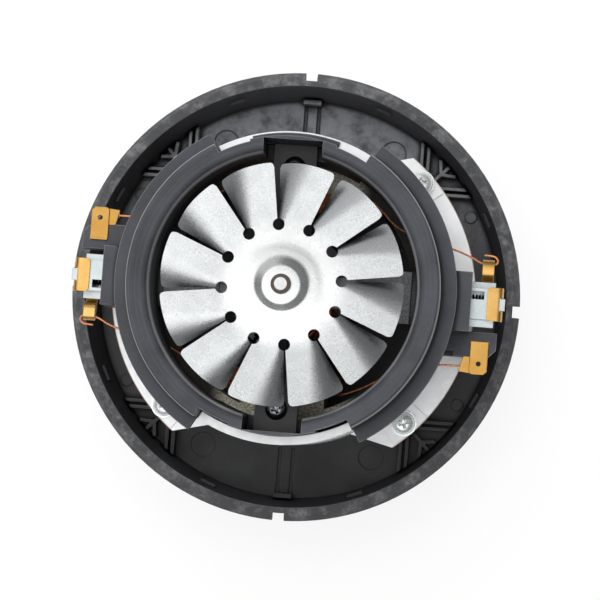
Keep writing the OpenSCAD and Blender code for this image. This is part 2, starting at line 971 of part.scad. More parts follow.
module wave_washer() {
    color("#b9bcc0")
        ring(upper_bearing[1] / 2 - 1.8, upper_bearing[1] / 2 - fit,
            upper_bearing_z - washer_t, upper_bearing_z);
}

function pitch_r(b) = (b[0] + b[1]) / 4;

module race(b, z) {
    translate([0, 0, z + b[2] / 2])
        rotate_extrude()
            translate([pitch_r(b), 0])
                circle(r = b[3] / 2 + race_clear);
}

module bearing_outer(b, z) {
    difference() {
        ring(b[1] / 2 - ring_wall, b[1] / 2, z, z + b[2]);
        race(b, z);
    }
}

module bearing_inner(b, z) {
    difference() {
        ring(b[0] / 2, b[0] / 2 + ring_wall, z, z + b[2]);
        race(b, z);
    }
}

module bearing_balls(b, z) {
    for (k = [0 : ball_count - 1])
        rotate([0, 0, 360 * k / ball_count])
            translate([pitch_r(b), 0, z + b[2] / 2])
                sphere(d = b[3]);
}

module bearing_cage(b, z) {
    difference() {
        ring(pitch_r(b) - 0.6, pitch_r(b) + 0.6, z + 0.6, z + b[2] - 0.6);
        for (k = [0 : ball_count - 1])
            rotate([0, 0, 360 * k / ball_count])
                translate([pitch_r(b) - b[3], 0, z + b[2] / 2])
                    rotate([0, 90, 0])
                        cylinder(d = b[3] + 0.2, h = 2 * b[3]);
    }
}

module upper_bearing_outer() {
    color("#b4b7ba")
        bearing_outer(upper_bearing, upper_bearing_z);
}

module lower_bearing_outer() {
    color("#b4b7ba")
        bearing_outer(lower_bearing, lower_bearing_z);
}

module upper_bearing_inner() {
    color("#c0c3c6")
        bearing_inner(upper_bearing, upper_bearing_z);
}

module lower_bearing_inner() {
    color("#c0c3c6")
        bearing_inner(lower_bearing, lower_bearing_z);
}

module upper_bearing_balls() {
    color("#d8dadc")
        bearing_balls(upper_bearing, upper_bearing_z);
}

module lower_bearing_balls() {
    color("#d8dadc")
        bearing_balls(lower_bearing, lower_bearing_z);
}

module upper_bearing_cage() {
    color("#8f8a5f")
        bearing_cage(upper_bearing, upper_bearing_z);
}

module lower_bearing_cage() {
    color("#8f8a5f")
        bearing_cage(lower_bearing, lower_bearing_z);
}

module brush_holder() {
    half = tube_h / 2;
    difference() {
        union() {
            block(holder_in_x, holder_x, -tube_w / 2, tube_w / 2, brush_z - half, brush_z + half);
            block(cup_in_r, holder_x - 2, -lip_w / 2, lip_w / 2, lip_z, lip_z + lip_t);
            block(holder_x - cut, holder_x + tang_l, -tang_w / 2, tang_w / 2, brush_z + half - holder_t,
                brush_z + half);
        }
        block(holder_in_x - cut, holder_x + eps, -bore_w / 2, bore_w / 2, brush_z - bore_h / 2,
            brush_z + bore_h / 2);
        block(slot_x[0], slot_x[1], slot_y - brush_slot_w / 2, slot_y + brush_slot_w / 2,
            brush_z, brush_z + half + cut);
    }
}

module brush_clip() {
    top = brush_z + tube_h / 2;
    foot = brush_z - tube_h / 2;
    difference() {
        union() {
            block(clip_x + brass_t - clip_l, clip_x + brass_t, -clip_w / 2, clip_w / 2, top, top + brass_t);
            block(clip_x, clip_x + brass_t, -clip_w / 2, clip_w / 2, foot, top + brass_t);
        }
        block(clip_x - cut, clip_x + brass_t + cut, -tang_w / 2 - fit, tang_w / 2 + fit,
            top - holder_t - fit, top);
    }
}

module brush_terminal() {
    z0 = lip_z + lip_t;
    x0 = terminal_x[0];
    x1 = terminal_x[1];
    block(x0, x1, terminal_y, terminal_end_y, z0, z0 + brass_t);
    block(x0, x1, terminal_end_y - brass_t, terminal_end_y, z0, z0 + 2 * brass_t + crimp_h);
    block(x0, x1, crimp_y, terminal_end_y, z0 + brass_t + crimp_h, z0 + 2 * brass_t + crimp_h);
}

module supply_tab() {
    z0 = arm_z + fit;
    x1 = tab_x + tab_w;
    y0 = tab_y + brass_t - tab_l;
    difference() {
        union() {
            translate([0, 0, z0])
                linear_extrude(brass_t)
                    polygon([
                        [tab_x, tab_y + brass_t], [tab_x, y0], [x1 - tab_corner, y0], [x1, y0 + tab_corner],
                        [x1, tab_y + brass_t]
                    ]);
            block(tab_x, x1, tab_y, tab_y + brass_t, arm_z - arm_h + 2 + fit, z0 + eps);
            block(tab_x - wing_l, tab_x + eps, y0, y0 + wing_w, z0, z0 + brass_t);
            translate([tab_x - wing_l, supply_route[0][1], supply_barrel_z])
                rotate([0, 90, 0])
                    cylinder(r = barrel_r, h = wing_l - 1);
        }
        translate([tab_x + tab_w / 2, y0 + tab_hole_in, z0 - cut])
            cylinder(d = tab_hole_d, h = brass_t + 2 * cut);
    }
}

module lead(route, coil_end) {
    drop = [[coil_end[0], coil_end[1], coil_end_z + 2 * lead_d], [coil_end[0], coil_end[1], coil_end_z]];
    path = concat(route, drop);
    tube(path, [for (p = path) [0, 1, 0.4]], lead_d / 2, wire_sides);
}

module carbon_brush() {
    difference() {
        block(brush_x - 2, brush_end_x, -brush_w / 2, brush_w / 2,
            brush_z - brush_h / 2, brush_z + brush_h / 2);
        translate([0, 0, brush_z - brush_h])
            cylinder(r = brush_x, h = 2 * brush_h);
    }
}

module brush_spring() {
    r = (spring_d - spring_wire) / 2;
    x0 = brush_end_x + fit;
    x1 = clip_x - fit;
    turns = spring_curls * spring_rings;
    coil_length = x1 - x0 - 4 * spring_wire;
    curls = [
        for (i = [0 : turns])
            let (a = 360 * i / spring_rings)
            [x0 + 2 * spring_wire + coil_length * i / turns, r * cos(a), brush_z + r * sin(a)]
    ];
    path = concat([[x0, r, brush_z], [x0 + spring_wire, r, brush_z]], curls,
        [[x1 - spring_wire, r, brush_z], [x1, r, brush_z]]);
    ends = [[0, 1, 0], [0, 1, 0]];
    refs = concat(ends, [for (c = curls) [0, c[1], c[2] - brush_z]], ends);
    echo(spring_self_gap = least_gap(curls, spring_rings / 2) - spring_wire);
    tube(path, refs, spring_wire / 2, wound_sides);
}

module shaft() {
    top_r = shaft_top_d / 2;
    color("#aeb1b4")
        rotate_extrude()
            polygon([
                [0, shaft_z],
                [shaft_d / 2, shaft_z],
                [shaft_d / 2, shaft_step_z],
                [top_r, shaft_step_z],
                [top_r, shaft_top_z - shaft_chamfer],
                [top_r - shaft_chamfer, shaft_top_z],
                [0, shaft_top_z]
            ]);
}

module armature_slots(width, r0, r1) {
    for (k = [0 : slot_count - 1])
        rotate(360 * (k + 0.5) / slot_count)
            translate([r0, -width / 2])
                square([r1 - r0, width]);
}

module armature_core() {
    color("#77797c")
        translate([0, 0, armature_z])
            linear_extrude(armature_h)
                difference() {
                    circle(r = armature_r);
                    circle(d = shaft_d);
                    armature_slots(slot_w, slot_in_r, slot_out_r);
                    armature_slots(slot_mouth, slot_out_r - 1, armature_r + cut);
                }
}

module end_turns(z0, z1) {
    ring(slot_in_r - 4, slot_out_r - wind_clear, z0, z1);
}

module armature_winding() {
    low = armature_z - end_turn_h;
    high = armature_z + armature_h + end_turn_h;
    color("#8d4a2c") {
        translate([0, 0, low + 1])
            linear_extrude(high - low - 2)
                armature_slots(slot_w - 2 * wind_clear, slot_in_r + wind_clear, slot_out_r - 2 * wind_clear);
        end_turns(low, armature_z - wind_clear);
        end_turns(armature_z + armature_h + wind_clear, high);
    }
}

module commutator_hub() {
    color("#4c3a2c")
        ring(shaft_d / 2, commutator_r - bar_t - fit, commutator_z, commutator_z + commutator_h);
}

module commutator_bars() {
    half = 180 / slot_count - asin(bar_gap / 2 / commutator_r);
    z1 = commutator_z + commutator_h;
    color("#b87345")
        for (k = [0 : slot_count - 1])
            rotate([0, 0, 360 * k / slot_count - half])
                rotate_extrude(angle = 2 * half)
                    polygon([
                        [commutator_r - bar_t, commutator_z], [riser_r, commutator_z],
                        [riser_r, commutator_z + riser_h], [commutator_r, commutator_z + riser_h],
                        [commutator_r, z1], [commutator_r - bar_t, z1]
                    ]);
}

// Height of a blade at a radius and at u, from 0 on its high edge to 1 on its bent edge
function blade_z(r, u) =
    let (
        reach = max(0, r - fan_hole_r) / (fan_r - fan_hole_r),
        bend = pow(max(0, u - bend_start) / (1 - bend_start), bend_power)
    )
    reach * (blade_rise * (1 - u) - fan_drop * bend);

module fan_blade() {
    r_steps = 5;
    u_steps = 8;
    r_in = fan_hole_r - 1;
    t = fan_sheet * 0.9;
    columns = u_steps + 1;
    count = (r_steps + 1) * columns;
    points = [
        for (level = [t / 2, -t / 2], i = [0 : r_steps], j = [0 : u_steps])
            let (
                r = r_in + (fan_r - r_in) * i / r_steps,
                u = j / u_steps,
                half = 180 / fan_blades - asin(fan_slit / 2 / r),
                a = half - 2 * half * (1 - u)
            )
            [r * cos(a), r * sin(a), blade_z(r, u) + level]
    ];
    cells = [
        for (i = [0 : r_steps - 1], j = [0 : u_steps - 1])
            let (a = i * columns + j)
            each [
                [a, a + 1, a + columns], [a + 1, a + columns + 1, a + columns],
                [count + a, count + a + columns, count + a + 1],
                [count + a + 1, count + a + columns, count + a + columns + 1]
            ]
    ];
    edge = concat(
        [for (j = [0 : u_steps - 1]) j],
        [for (i = [0 : r_steps - 1]) i * columns + u_steps],
        [for (j = [u_steps : -1 : 1]) r_steps * columns + j],
        [for (i = [r_steps : -1 : 1]) i * columns]
    );
    walls = [
        for (k = [0 : len(edge) - 1])
            let (a = edge[k], b = edge[(k + 1) % len(edge)])
            each [[a, count + a, b], [b, count + a, count + b]]
    ];
    polyhedron(points = points, faces = concat(cells, walls));
}

module cooling_fan() {
    hub_r = fan_hole_r;
    half = fan_sheet / 2;
    color("#cfd2d4")
        translate([0, 0, fan_z])
            rotate([0, 0, fan_phase])
                difference() {
                    union() {
                        rotate_extrude()
                            polygon([
                                [shaft_top_d / 2, -half], [hub_r, -half], [hub_r, half],
                                [fan_step_r + fan_step_h, half], [fan_step_r, half + fan_step_h],
                                [fan_boss_r, half + fan_step_h], [fan_boss_top_r, fan_boss_h],
                                [shaft_top_d / 2, fan_boss_h]
                            ]);
                        for (k = [0 : fan_blades - 1])
                            rotate([0, 0, 360 * (k + 0.5) / fan_blades])
                                fan_blade();
                    }
                    for (k = [0 : fan_blades - 1])
                        rotate([0, 0, 360 * k / fan_blades])
                            translate([fan_hole_r, 0, -fan_drop])
                                cylinder(d = fan_hole_d, h = 2 * fan_drop);
                }
}

module fan_sleeve() {
    color("#9a9da0")
        ring(shaft_top_d / 2, fan_sleeve_r, upper_bearing_z + upper_bearing[2], fan_z - fan_sheet / 2);
}

module impeller_back_plate() {
    color("#cdd0d2")
        ring(shaft_d / 2, impeller_r, back_z, back_z + impeller_t);
}

module impeller_vane() {
    steps = 6;
    function vane_point(s, side) =
        let (r = vane_in_r + (impeller_r - 0.5 - vane_in_r) * s, a = vane_sweep * s)
        [r * cos(a) - side * sin(a), r * sin(a) + side * cos(a)];
    linear_extrude(vane_h)
        polygon(concat(
            [for (i = [0 : steps]) vane_point(i / steps, -vane_t / 2)],
            [for (i = [steps : -1 : 0]) vane_point(i / steps, vane_t / 2)]
        ));
}

module impeller_vanes() {
    color("#c6c9cb")
        for (k = [0 : vane_count - 1])
            rotate([0, 0, 360 * k / vane_count])
                translate([0, 0, vane_z])
                    impeller_vane();
}

module impeller_shroud() {
    color("#cdd0d2")
        ring(impeller_eye_r, impeller_r, shroud_z, shroud_z + impeller_t);
}

module impeller_spacer() {
    color("#9a9da0")
        ring(shaft_d / 2, spacer_r, back_z + impeller_t, lower_bearing_z);
}

module impeller_washer() {
    color("#b9bcc0")
        ring(shaft_d / 2, clamp_washer_r, back_z - clamp_washer_t, back_z);
}

module impeller_nut() {
    z1 = back_z - clamp_washer_t;
    color("#c8cac8")
        difference() {
            translate([0, 0, z1 - nut_h])
                cylinder(d = nut_flats / cos(30), h = nut_h, $fn = 6);
            translate([0, 0, z1 - nut_h - cut])
                cylinder(d = shaft_d, h = nut_h + 2 * cut);
        }
}

module brush_holder_right() { color("#c9cccf") brush_holder(); }
module brush_holder_left() { color("#c9cccf") flipped() brush_holder(); }
module brush_clip_right() { color("#d9a94e") brush_clip(); }
module brush_clip_left() { color("#d9a94e") flipped() brush_clip(); }
module brush_terminal_right() { color("#d9a94e") brush_terminal(); }
module brush_terminal_left() { color("#d9a94e") flipped() brush_terminal(); }
module supply_tab_right() { color("#c8963f") supply_tab(); }
module supply_tab_left() { color("#c8963f") flipped() supply_tab(); }
module supply_lead_right() { color("#b8622f") lead(supply_route, -coil_stop); }
module supply_lead_left() { color("#b8622f") flipped() lead(supply_route, -coil_stop); }
module brush_lead_right() { color("#b8622f") lead(brush_route, coil_start); }
module brush_lead_left() { color("#b8622f") flipped() lead(brush_route, coil_start); }
module carbon_brush_right() { color("#3b3a39") carbon_brush(); }
module carbon_brush_left() { color("#3b3a39") flipped() carbon_brush(); }
module brush_spring_right() { color("#55585c") brush_spring(); }
module brush_spring_left() { color("#55585c") flipped() brush_spring(); }

base_housing();
fan_cover();
motor_bracket();
bracket_screws();
bracket_washers();
field_core();
field_coil_front();
field_coil_rear();
through_bolts();
upper_frame();
bearing_bridge();
wave_washer();
upper_bearing_outer();
lower_bearing_outer();
brush_holder_right();
brush_holder_left();
brush_clip_right();
brush_clip_left();
brush_terminal_right();
brush_terminal_left();
supply_tab_right();
supply_tab_left();
supply_lead_right();
supply_lead_left();
brush_lead_right();
brush_lead_left();
carbon_brush_right();
carbon_brush_left();
brush_spring_right();
brush_spring_left();
shaft();
armature_core();
armature_winding();
commutator_hub();
commutator_bars();
upper_bearing_inner();
lower_bearing_inner();
upper_bearing_balls();
lower_bearing_balls();
upper_bearing_cage();
lower_bearing_cage();
cooling_fan();
fan_sleeve();
impeller_back_plate();
impeller_vanes();
impeller_shroud();
impeller_spacer();
impeller_washer();
impeller_nut();
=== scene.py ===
import math

import bmesh
import bpy
from mathutils import Matrix, Vector


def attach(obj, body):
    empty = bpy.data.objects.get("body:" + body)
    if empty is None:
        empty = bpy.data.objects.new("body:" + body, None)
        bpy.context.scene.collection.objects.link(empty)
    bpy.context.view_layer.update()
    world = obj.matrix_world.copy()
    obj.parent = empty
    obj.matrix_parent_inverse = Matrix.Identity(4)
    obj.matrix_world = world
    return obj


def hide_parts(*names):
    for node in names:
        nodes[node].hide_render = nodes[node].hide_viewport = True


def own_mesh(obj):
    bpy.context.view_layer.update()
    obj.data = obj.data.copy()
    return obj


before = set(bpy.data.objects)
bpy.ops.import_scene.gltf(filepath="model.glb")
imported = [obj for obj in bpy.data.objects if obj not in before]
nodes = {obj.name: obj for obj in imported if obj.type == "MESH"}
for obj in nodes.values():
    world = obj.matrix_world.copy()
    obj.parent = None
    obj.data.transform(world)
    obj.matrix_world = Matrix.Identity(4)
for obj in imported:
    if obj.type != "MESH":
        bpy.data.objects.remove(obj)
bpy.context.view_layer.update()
mm = 0.001
print("frame loaded:", len(nodes), "nodes")


# working helpers

def deselectAll():
    if bpy.context.object and bpy.context.object.mode != "OBJECT":
        bpy.ops.object.mode_set(mode="OBJECT")
    bpy.ops.object.select_all(action="DESELECT")


def activate(piece):
    deselectAll()
    piece.select_set(True)
    bpy.context.view_layer.objects.active = piece


def editMode(on=True):
    bpy.ops.object.mode_set(mode="EDIT" if on else "OBJECT")


def pick(piece, test):
    # select the points whose place passes the test
    bpy.ops.mesh.select_mode(type="VERT")
    mesh = bmesh.from_edit_mesh(piece.data)
    for group in (mesh.verts, mesh.edges, mesh.faces):
        for item in group:
            item.select_set(False)
    for vertex in mesh.verts:
        vertex.select_set(test(vertex.co))
    mesh.select_flush_mode()
    bmesh.update_edit_mesh(piece.data)


def pickPoints(piece, wanted):
    bpy.ops.mesh.select_mode(type="VERT")
    mesh = bmesh.from_edit_mesh(piece.data)
    for vertex in mesh.verts:
        vertex.select_set(vertex.index in wanted)
    mesh.select_flush_mode()
    bmesh.update_edit_mesh(piece.data)


def turnSelected(angle, axis, centre):
    # without a window the operator turns the other way round
    bpy.ops.transform.rotate(value=-angle, orient_axis=axis, center_override=centre)


def modify(piece, kind, **settings):
    activate(piece)
    modifier = piece.modifiers.new(kind.lower(), kind)
    for key, value in settings.items():
        setattr(modifier, key, value)
    bpy.ops.object.modifier_apply(modifier=modifier.name)


def profileLine(name, points):
    # a plane is drawn together to one point, which is then extruded from place to place
    deselectAll()
    bpy.ops.mesh.primitive_plane_add(size=mm)
    piece = bpy.context.object
    piece.name = name
    piece.data.name = name
    editMode()
    bpy.ops.mesh.select_all(action="SELECT")
    bpy.ops.mesh.merge(type="CENTER")
    bpy.ops.transform.translate(value=points[0])
    for here, there in zip(points, points[1:]):
        step = tuple(b - a for a, b in zip(here, there))
        bpy.ops.mesh.extrude_region_move(TRANSFORM_OT_translate={"value": step})
    return piece


def spinRound(steps, angle=2 * math.pi, copies=False):
    bpy.ops.mesh.select_all(action="SELECT")
    bpy.ops.mesh.spin(steps=steps, angle=angle, center=(0, 0, 0), axis=(0, 0, -1), dupli=copies)


def cleanUp(gap=0.00002, outward=True):
    bpy.ops.mesh.select_all(action="SELECT")
    bpy.ops.mesh.remove_doubles(threshold=gap)
    if outward:
        bpy.ops.mesh.normals_make_consistent(inside=False)


def joinAll(name, pieces):
    deselectAll()
    for piece in pieces:
        piece.select_set(True)
    bpy.context.view_layer.objects.active = pieces[0]
    bpy.ops.object.join()
    joined = bpy.context.object
    joined.name = name
    joined.data.name = name
    return joined


def copyOf(piece, name):
    activate(piece)
    bpy.ops.object.duplicate()
    twin = bpy.context.object
    twin.name = name
    twin.data.name = name
    return twin


def placeAt(piece, place, angle=0):
    piece.data.transform(Matrix.Translation(place) @ Matrix.Rotation(angle, 4, "Z"))
    return piece


def halfTurn(piece, name):
    # the left side of the motor is the right side turned half round the shaft
    twin = copyOf(piece, name)
    twin.data.transform(Matrix.Rotation(math.pi, 4, "Z"))
    return twin


def softenEdges(piece, width, segments, angle):
    modify(piece, "BEVEL", width=width * mm, segments=segments, limit_method="ANGLE",
           angle_limit=math.radians(angle))


def cutOut(piece, cutter):
    modify(piece, "BOOLEAN", operation="DIFFERENCE", object=cutter, solver="EXACT")
    bpy.data.objects.remove(cutter)


def seat(piece, material, body="frame", stands=(), smooth=35, flat=False):
    activate(piece)
    bpy.ops.object.transform_apply(location=True, rotation=True, scale=True)
    bpy.ops.object.shade_smooth_by_angle(angle=math.radians(smooth))
    if flat:  # flat faces keep their own direction
        modify(piece, "WEIGHTED_NORMAL", keep_sharp=True, weight=90)
    piece.data.materials.clear()
    piece.data.materials.append(material)
    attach(piece, body)
    if stands:
        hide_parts(*stands)
    return piece


# finishes

def startFinish(name):
    finish = bpy.data.materials.new(name)
    finish.use_nodes = True
    tree = finish.node_tree
    shader = tree.nodes["Principled BSDF"]
    place = tree.nodes.new("ShaderNodeTexCoord").outputs["Object"]
    return finish, tree, shader, place


def noiseOf(tree, place, scale, detail=3.0, rough=0.55, stretch=None):
    if stretch:
        mapping = tree.nodes.new("ShaderNodeMapping")
        mapping.inputs["Scale"].default_value = stretch
        tree.links.new(place, mapping.inputs["Vector"])
        place = mapping.outputs["Vector"]
    noise = tree.nodes.new("ShaderNodeTexNoise")
    noise.inputs["Scale"].default_value = scale
    noise.inputs["Detail"].default_value = detail
    noise.inputs["Roughness"].default_value = rough
    tree.links.new(place, noise.inputs["Vector"])
    return noise.outputs["Fac"]


def rampOf(tree, factor, stops):
    ramp = tree.nodes.new("ShaderNodeValToRGB")
    ramp.color_ramp.elements[0].position = stops[0][0]
    ramp.color_ramp.elements[1].position = stops[-1][0]
    for position, _ in stops[1:-1]:
        ramp.color_ramp.elements.new(position)
    for element, (_, colour) in zip(ramp.color_ramp.elements, stops):
        element.color = colour + (1.0,)
    tree.links.new(factor, ramp.inputs["Fac"])
    return ramp.outputs["Color"]


def spread(tree, factor, low, high):
    scale = tree.nodes.new("ShaderNodeMapRange")
    scale.inputs["From Min"].default_value = 0.3
    scale.inputs["From Max"].default_value = 0.7
    scale.inputs["To Min"].default_value = low
    scale.inputs["To Max"].default_value = high
    tree.links.new(factor, scale.inputs["Value"])
    return scale.outputs["Result"]


def bumpOf(tree, shader, height, strength, distance, edge=0.0):
    bump = tree.nodes.new("ShaderNodeBump")
    bump.inputs["Strength"].default_value = strength
    bump.inputs["Distance"].default_value = distance
    tree.links.new(height, bump.inputs["Height"])
    if edge:
        rounded = tree.nodes.new("ShaderNodeBevel")
        rounded.samples = 4
        rounded.inputs["Radius"].default_value = edge
        tree.links.new(rounded.outputs["Normal"], bump.inputs["Normal"])
    tree.links.new(bump.outputs["Normal"], shader.inputs["Normal"])


def radiusOf(tree, place):
    # distance from the shaft, in metres
    split = tree.nodes.new("ShaderNodeSeparateXYZ")
    tree.links.new(place, split.inputs[0])
    flat = tree.nodes.new("ShaderNodeCombineXYZ")
    tree.links.new(split.outputs["X"], flat.inputs["X"])
    tree.links.new(split.outputs["Y"], flat.inputs["Y"])
    length = tree.nodes.new("ShaderNodeVectorMath")
    length.operation = "LENGTH"
    tree.links.new(flat.outputs[0], length.inputs[0])
    return length.outputs["Value"], split.outputs


def between(tree, value, low, high):
    # 0 at low, 1 at high, held beyond both
    step = tree.nodes.new("ShaderNodeMapRange")
    step.interpolation_type = "SMOOTHSTEP"
    step.inputs["From Min"].default_value = low
    step.inputs["From Max"].default_value = high
    tree.links.new(value, step.inputs["Value"])
    return step.outputs["Result"]


def both(tree, first, second):
    # one share times another
    product = tree.nodes.new("ShaderNodeMath")
    product.operation = "MULTIPLY"
    tree.links.new(first, product.inputs[0])
    tree.links.new(second, product.inputs[1])
    return product.outputs[0]


def scaled(tree, value, factor, added):
    # value times factor, plus a number or another value
    step = tree.nodes.new("ShaderNodeMath")
    step.operation = "MULTIPLY_ADD"
    step.inputs[1].default_value = factor
    tree.links.new(value, step.inputs[0])
    if isinstance(added, float):
        step.inputs[2].default_value = added
    else:
        tree.links.new(added, step.inputs[2])
    return step.outputs[0]


# the "dark" colour is painted shade in corners; edges get a painted highlight
edgeSpec = {
    "width": 0.0005, "reach": 0.0025, "dark": (0.004, 0.004, 0.005),
    "turn": (0.985, 0.88), "bare": (0.86, 0.97), "closed": (0.95, 0.60),
}


def edgesOf(tree, spec):
    # shares of painted highlight on outer edges and of painted shade in corners, from the piece's own shape
    rounded = tree.nodes.new("ShaderNodeBevel")
    rounded.samples = 6
    rounded.inputs["Radius"].default_value = spec["width"]
    turn = tree.nodes.new("ShaderNodeVectorMath")
    turn.operation = "DOT_PRODUCT"
    tree.links.new(rounded.outputs["Normal"], turn.inputs[0])
    tree.links.new(tree.nodes.new("ShaderNodeNewGeometry").outputs["Normal"], turn.inputs[1])
    reach = tree.nodes.new("ShaderNodeAmbientOcclusion")
    reach.samples = 8
    reach.only_local = True
    reach.inputs["Distance"].default_value = spec["reach"]
    bare = between(tree, reach.outputs["AO"], *spec["bare"])
    edgeHighlight = both(tree, between(tree, turn.outputs["Value"], *spec["turn"]), bare)
    return edgeHighlight, between(tree, reach.outputs["AO"], *spec["closed"])


def mixColours(tree, factor, first, second):
    mix = tree.nodes.new("ShaderNodeMix")
    mix.data_type = "RGBA"
    for socket, value in zip([i for i in mix.inputs if i.type == "RGBA"], (first, second)):
        if isinstance(value, tuple):
            socket.default_value = value + (1.0,)
        else:
            tree.links.new(value, socket)
    tree.links.new(factor, mix.inputs["Factor"])
    return [o for o in mix.outputs if o.type == "RGBA"][0]


def scuffed(tree, place, base, spec):
    # paler rubbed patches on the rim, which fade down the outside
    radius, axes = radiusOf(tree, place)
    marks = between(tree, noiseOf(tree, place, 190, 8, 0.72), 0.44, 0.72)
    rim = both(tree, marks, between(tree, radius, *spec["radius"]))
    return mixColours(tree, both(tree, rim, between(tree, axes["Z"], *spec["height"])), base, spec["colour"])


def paintedHoodLight(tree, place, base, fine, spec):
    # painted light: greyer top of the brush hoods, inside a radius and above a height
    radius, axes = radiusOf(tree, place)
    share = both(tree, between(tree, radius, *spec["hoodRadius"]), between(tree, axes["Z"], *spec["hoodHeight"]))
    return mixColours(tree, share, base, rampOf(tree, fine, spec["hoodGrey"]))


def paintedFloorLight(tree, place, base, spec):
    # painted light on the floor inside the wall: mottled and pale at the rear, with painted shade at the front
    radius, axes = radiusOf(tree, place)
    floor = both(tree, between(tree, radius, *spec["radius"]), between(tree, axes["Z"], *spec["height"]))
    patchy = between(tree, noiseOf(tree, place, 130, 5, 0.65), 0.26, 0.60)
    rear = both(tree, both(tree, floor, patchy), between(tree, axes["Y"], *spec["rear"]))
    front = both(tree, floor, between(tree, axes["Y"], *spec["front"]))
    return mixColours(tree, front, mixColours(tree, rear, base, spec["pale"]), spec["clear"])


def paintedHighlightLines(tree, place, base, colour, spec):
    # painted highlight lines round the bore and round the outer edge of the ring
    radius, axes = radiusOf(tree, place)
    bore = both(tree, between(tree, radius, *spec["boreInner"]), between(tree, radius, *spec["boreOuter"]))
    base = mixColours(tree, both(tree, bore, between(tree, axes["Z"], *spec["boreHeight"])), base, colour)
    rim = both(tree, between(tree, radius, *spec["rimRadius"]), between(tree, axes["Z"], *spec["rimHeight"]))
    return mixColours(tree, rim, base, colour)


def plasticFinish(name, dark, light, grain=2600, rough=(0.46, 0.62), depth=0.00006, edge=0.0005,
                  shine=0.5, scuff=None, ring=None, paintedShading=None, edgeHighlight=None):
    finish, tree, shader, place = startFinish(name)
    cloud = noiseOf(tree, place, 55, 4)
    fine = noiseOf(tree, place, grain, 2)
    base = rampOf(tree, scaled(tree, fine, 0.45, cloud), [(0.42, dark), (0.95, light)])
    if scuff:
        base = scuffed(tree, place, base, scuff)
    if ring:
        base = paintedHoodLight(tree, place, base, fine, ring)
    if paintedShading:
        base = paintedFloorLight(tree, place, base, paintedShading)
    if edgeHighlight:  # painted shade in the corners and painted highlight on the edges
        brightened, shaded = edgesOf(tree, edgeSpec)
        base = mixColours(tree, shaded, base, edgeSpec["dark"])
        base = mixColours(tree, brightened, base, edgeHighlight)
    if ring:
        base = paintedHighlightLines(tree, place, base, edgeHighlight, ring)
    tree.links.new(base, shader.inputs["Base Color"])
    tree.links.new(spread(tree, cloud, *rough), shader.inputs["Roughness"])
    shader.inputs["Specular IOR Level"].default_value = shine
    bumpOf(tree, shader, fine, 0.5, depth, edge)
    return finish


def metalFinish(name, dark, light, rough, grain=900, stretch=None, strength=0.3, edge=0.0002, metallic=1.0):
    finish, tree, shader, place = startFinish(name)
    shader.inputs["Metallic"].default_value = metallic
    cloud = noiseOf(tree, place, 120, 4)
    fine = noiseOf(tree, place, grain, 3, 0.6, stretch)
    tree.links.new(rampOf(tree, cloud, [(0.3, dark), (0.7, light)]), shader.inputs["Base Color"])
    tree.links.new(spread(tree, fine, *rough), shader.inputs["Roughness"])
    bumpOf(tree, shader, fine, strength, 0.00001, edge)
    return finish


sheetSpec = {
    "brightened": (0.016, 0.025),
    "bright": [(0.3, (0.64, 0.65, 0.65)), (0.6, (0.72, 0.725, 0.72))],
    "dull": [(0.30, (0.26, 0.27, 0.28)), (0.42, (0.49, 0.505, 0.51)), (0.68, (0.60, 0.612, 0.612))],
}


def galvanisedFinish(name, spec):
    # zinc coat: a hub rubbed bright, duller blades, dark specks and a fine tooth
    finish, tree, shader, place = startFinish(name)
    shader.inputs["Metallic"].default_value = 1.0
    radius, _ = radiusOf(tree, place)
    cloud = noiseOf(tree, place, 150, 5, 0.6)
    tooth = noiseOf(tree, place, 3200, 3, 0.75)
    bright, dull = rampOf(tree, tooth, spec["bright"]), rampOf(tree, tooth, spec["dull"])
    base = mixColours(tree, between(tree, radius, *spec["brightened"]), bright, dull)
    tree.links.new(base, shader.inputs["Base Color"])
    tree.links.new(spread(tree, cloud, 0.22, 0.32), shader.inputs["Roughness"])
    bumpOf(tree, shader, tooth, 0.5, 0.00009)
    return finish


cupSpec = {
    "bright": [(0.3, (0.74, 0.75, 0.755)), (0.7, (0.88, 0.885, 0.89))], "metallic": 0.6,
    "stainRadius": (0.0662, 0.0667), "stain": (0.34, 0.19, 0.11),
    # painted shade down inside the cup: darker and less metallic
    "insideRadius": (0.0515, 0.0495), "insideHeight": (0.080, 0.055), "paintedShading": (0.022, 0.022, 0.024),
}


def cupFinish(name, spec):
    # bright casting with a stained outer edge, with painted shade (darker and less metallic) down inside the cup
    finish, tree, shader, place = startFinish(name)
    radius, axes = radiusOf(tree, place)
    cloud = noiseOf(tree, place, 60, 5, 0.6)
    fine = noiseOf(tree, place, 700, 3, 0.6)
    bright = rampOf(tree, cloud, spec["bright"])
    deep = between(tree, axes["Z"], *spec["insideHeight"])
    inside = both(tree, between(tree, radius, *spec["insideRadius"]), deep)
    stained = mixColours(tree, between(tree, radius, *spec["stainRadius"]), bright, spec["stain"])
    tree.links.new(mixColours(tree, inside, stained, spec["paintedShading"]), shader.inputs["Base Color"])
    tree.links.new(scaled(tree, inside, -spec["metallic"], spec["metallic"]), shader.inputs["Metallic"])
    tree.links.new(spread(tree, fine, 0.38, 0.52), shader.inputs["Roughness"])
    bumpOf(tree, shader, fine, 0.35, 0.00004, 0.0003)
    return finish


coreSpec = {
    # painted shade: dark away from the poles and nearer the shaft
    "outerRadius": (0.033, 0.037), "away": (0.019, 0.027),
    "pale": [(0.36, (0.36, 0.32, 0.20)), (0.5, (0.78, 0.73, 0.56)), (0.64, (0.95, 0.93, 0.82))],
    "dark": [(0.36, (0.010, 0.009, 0.008)), (0.64, (0.03, 0.028, 0.022))],
}


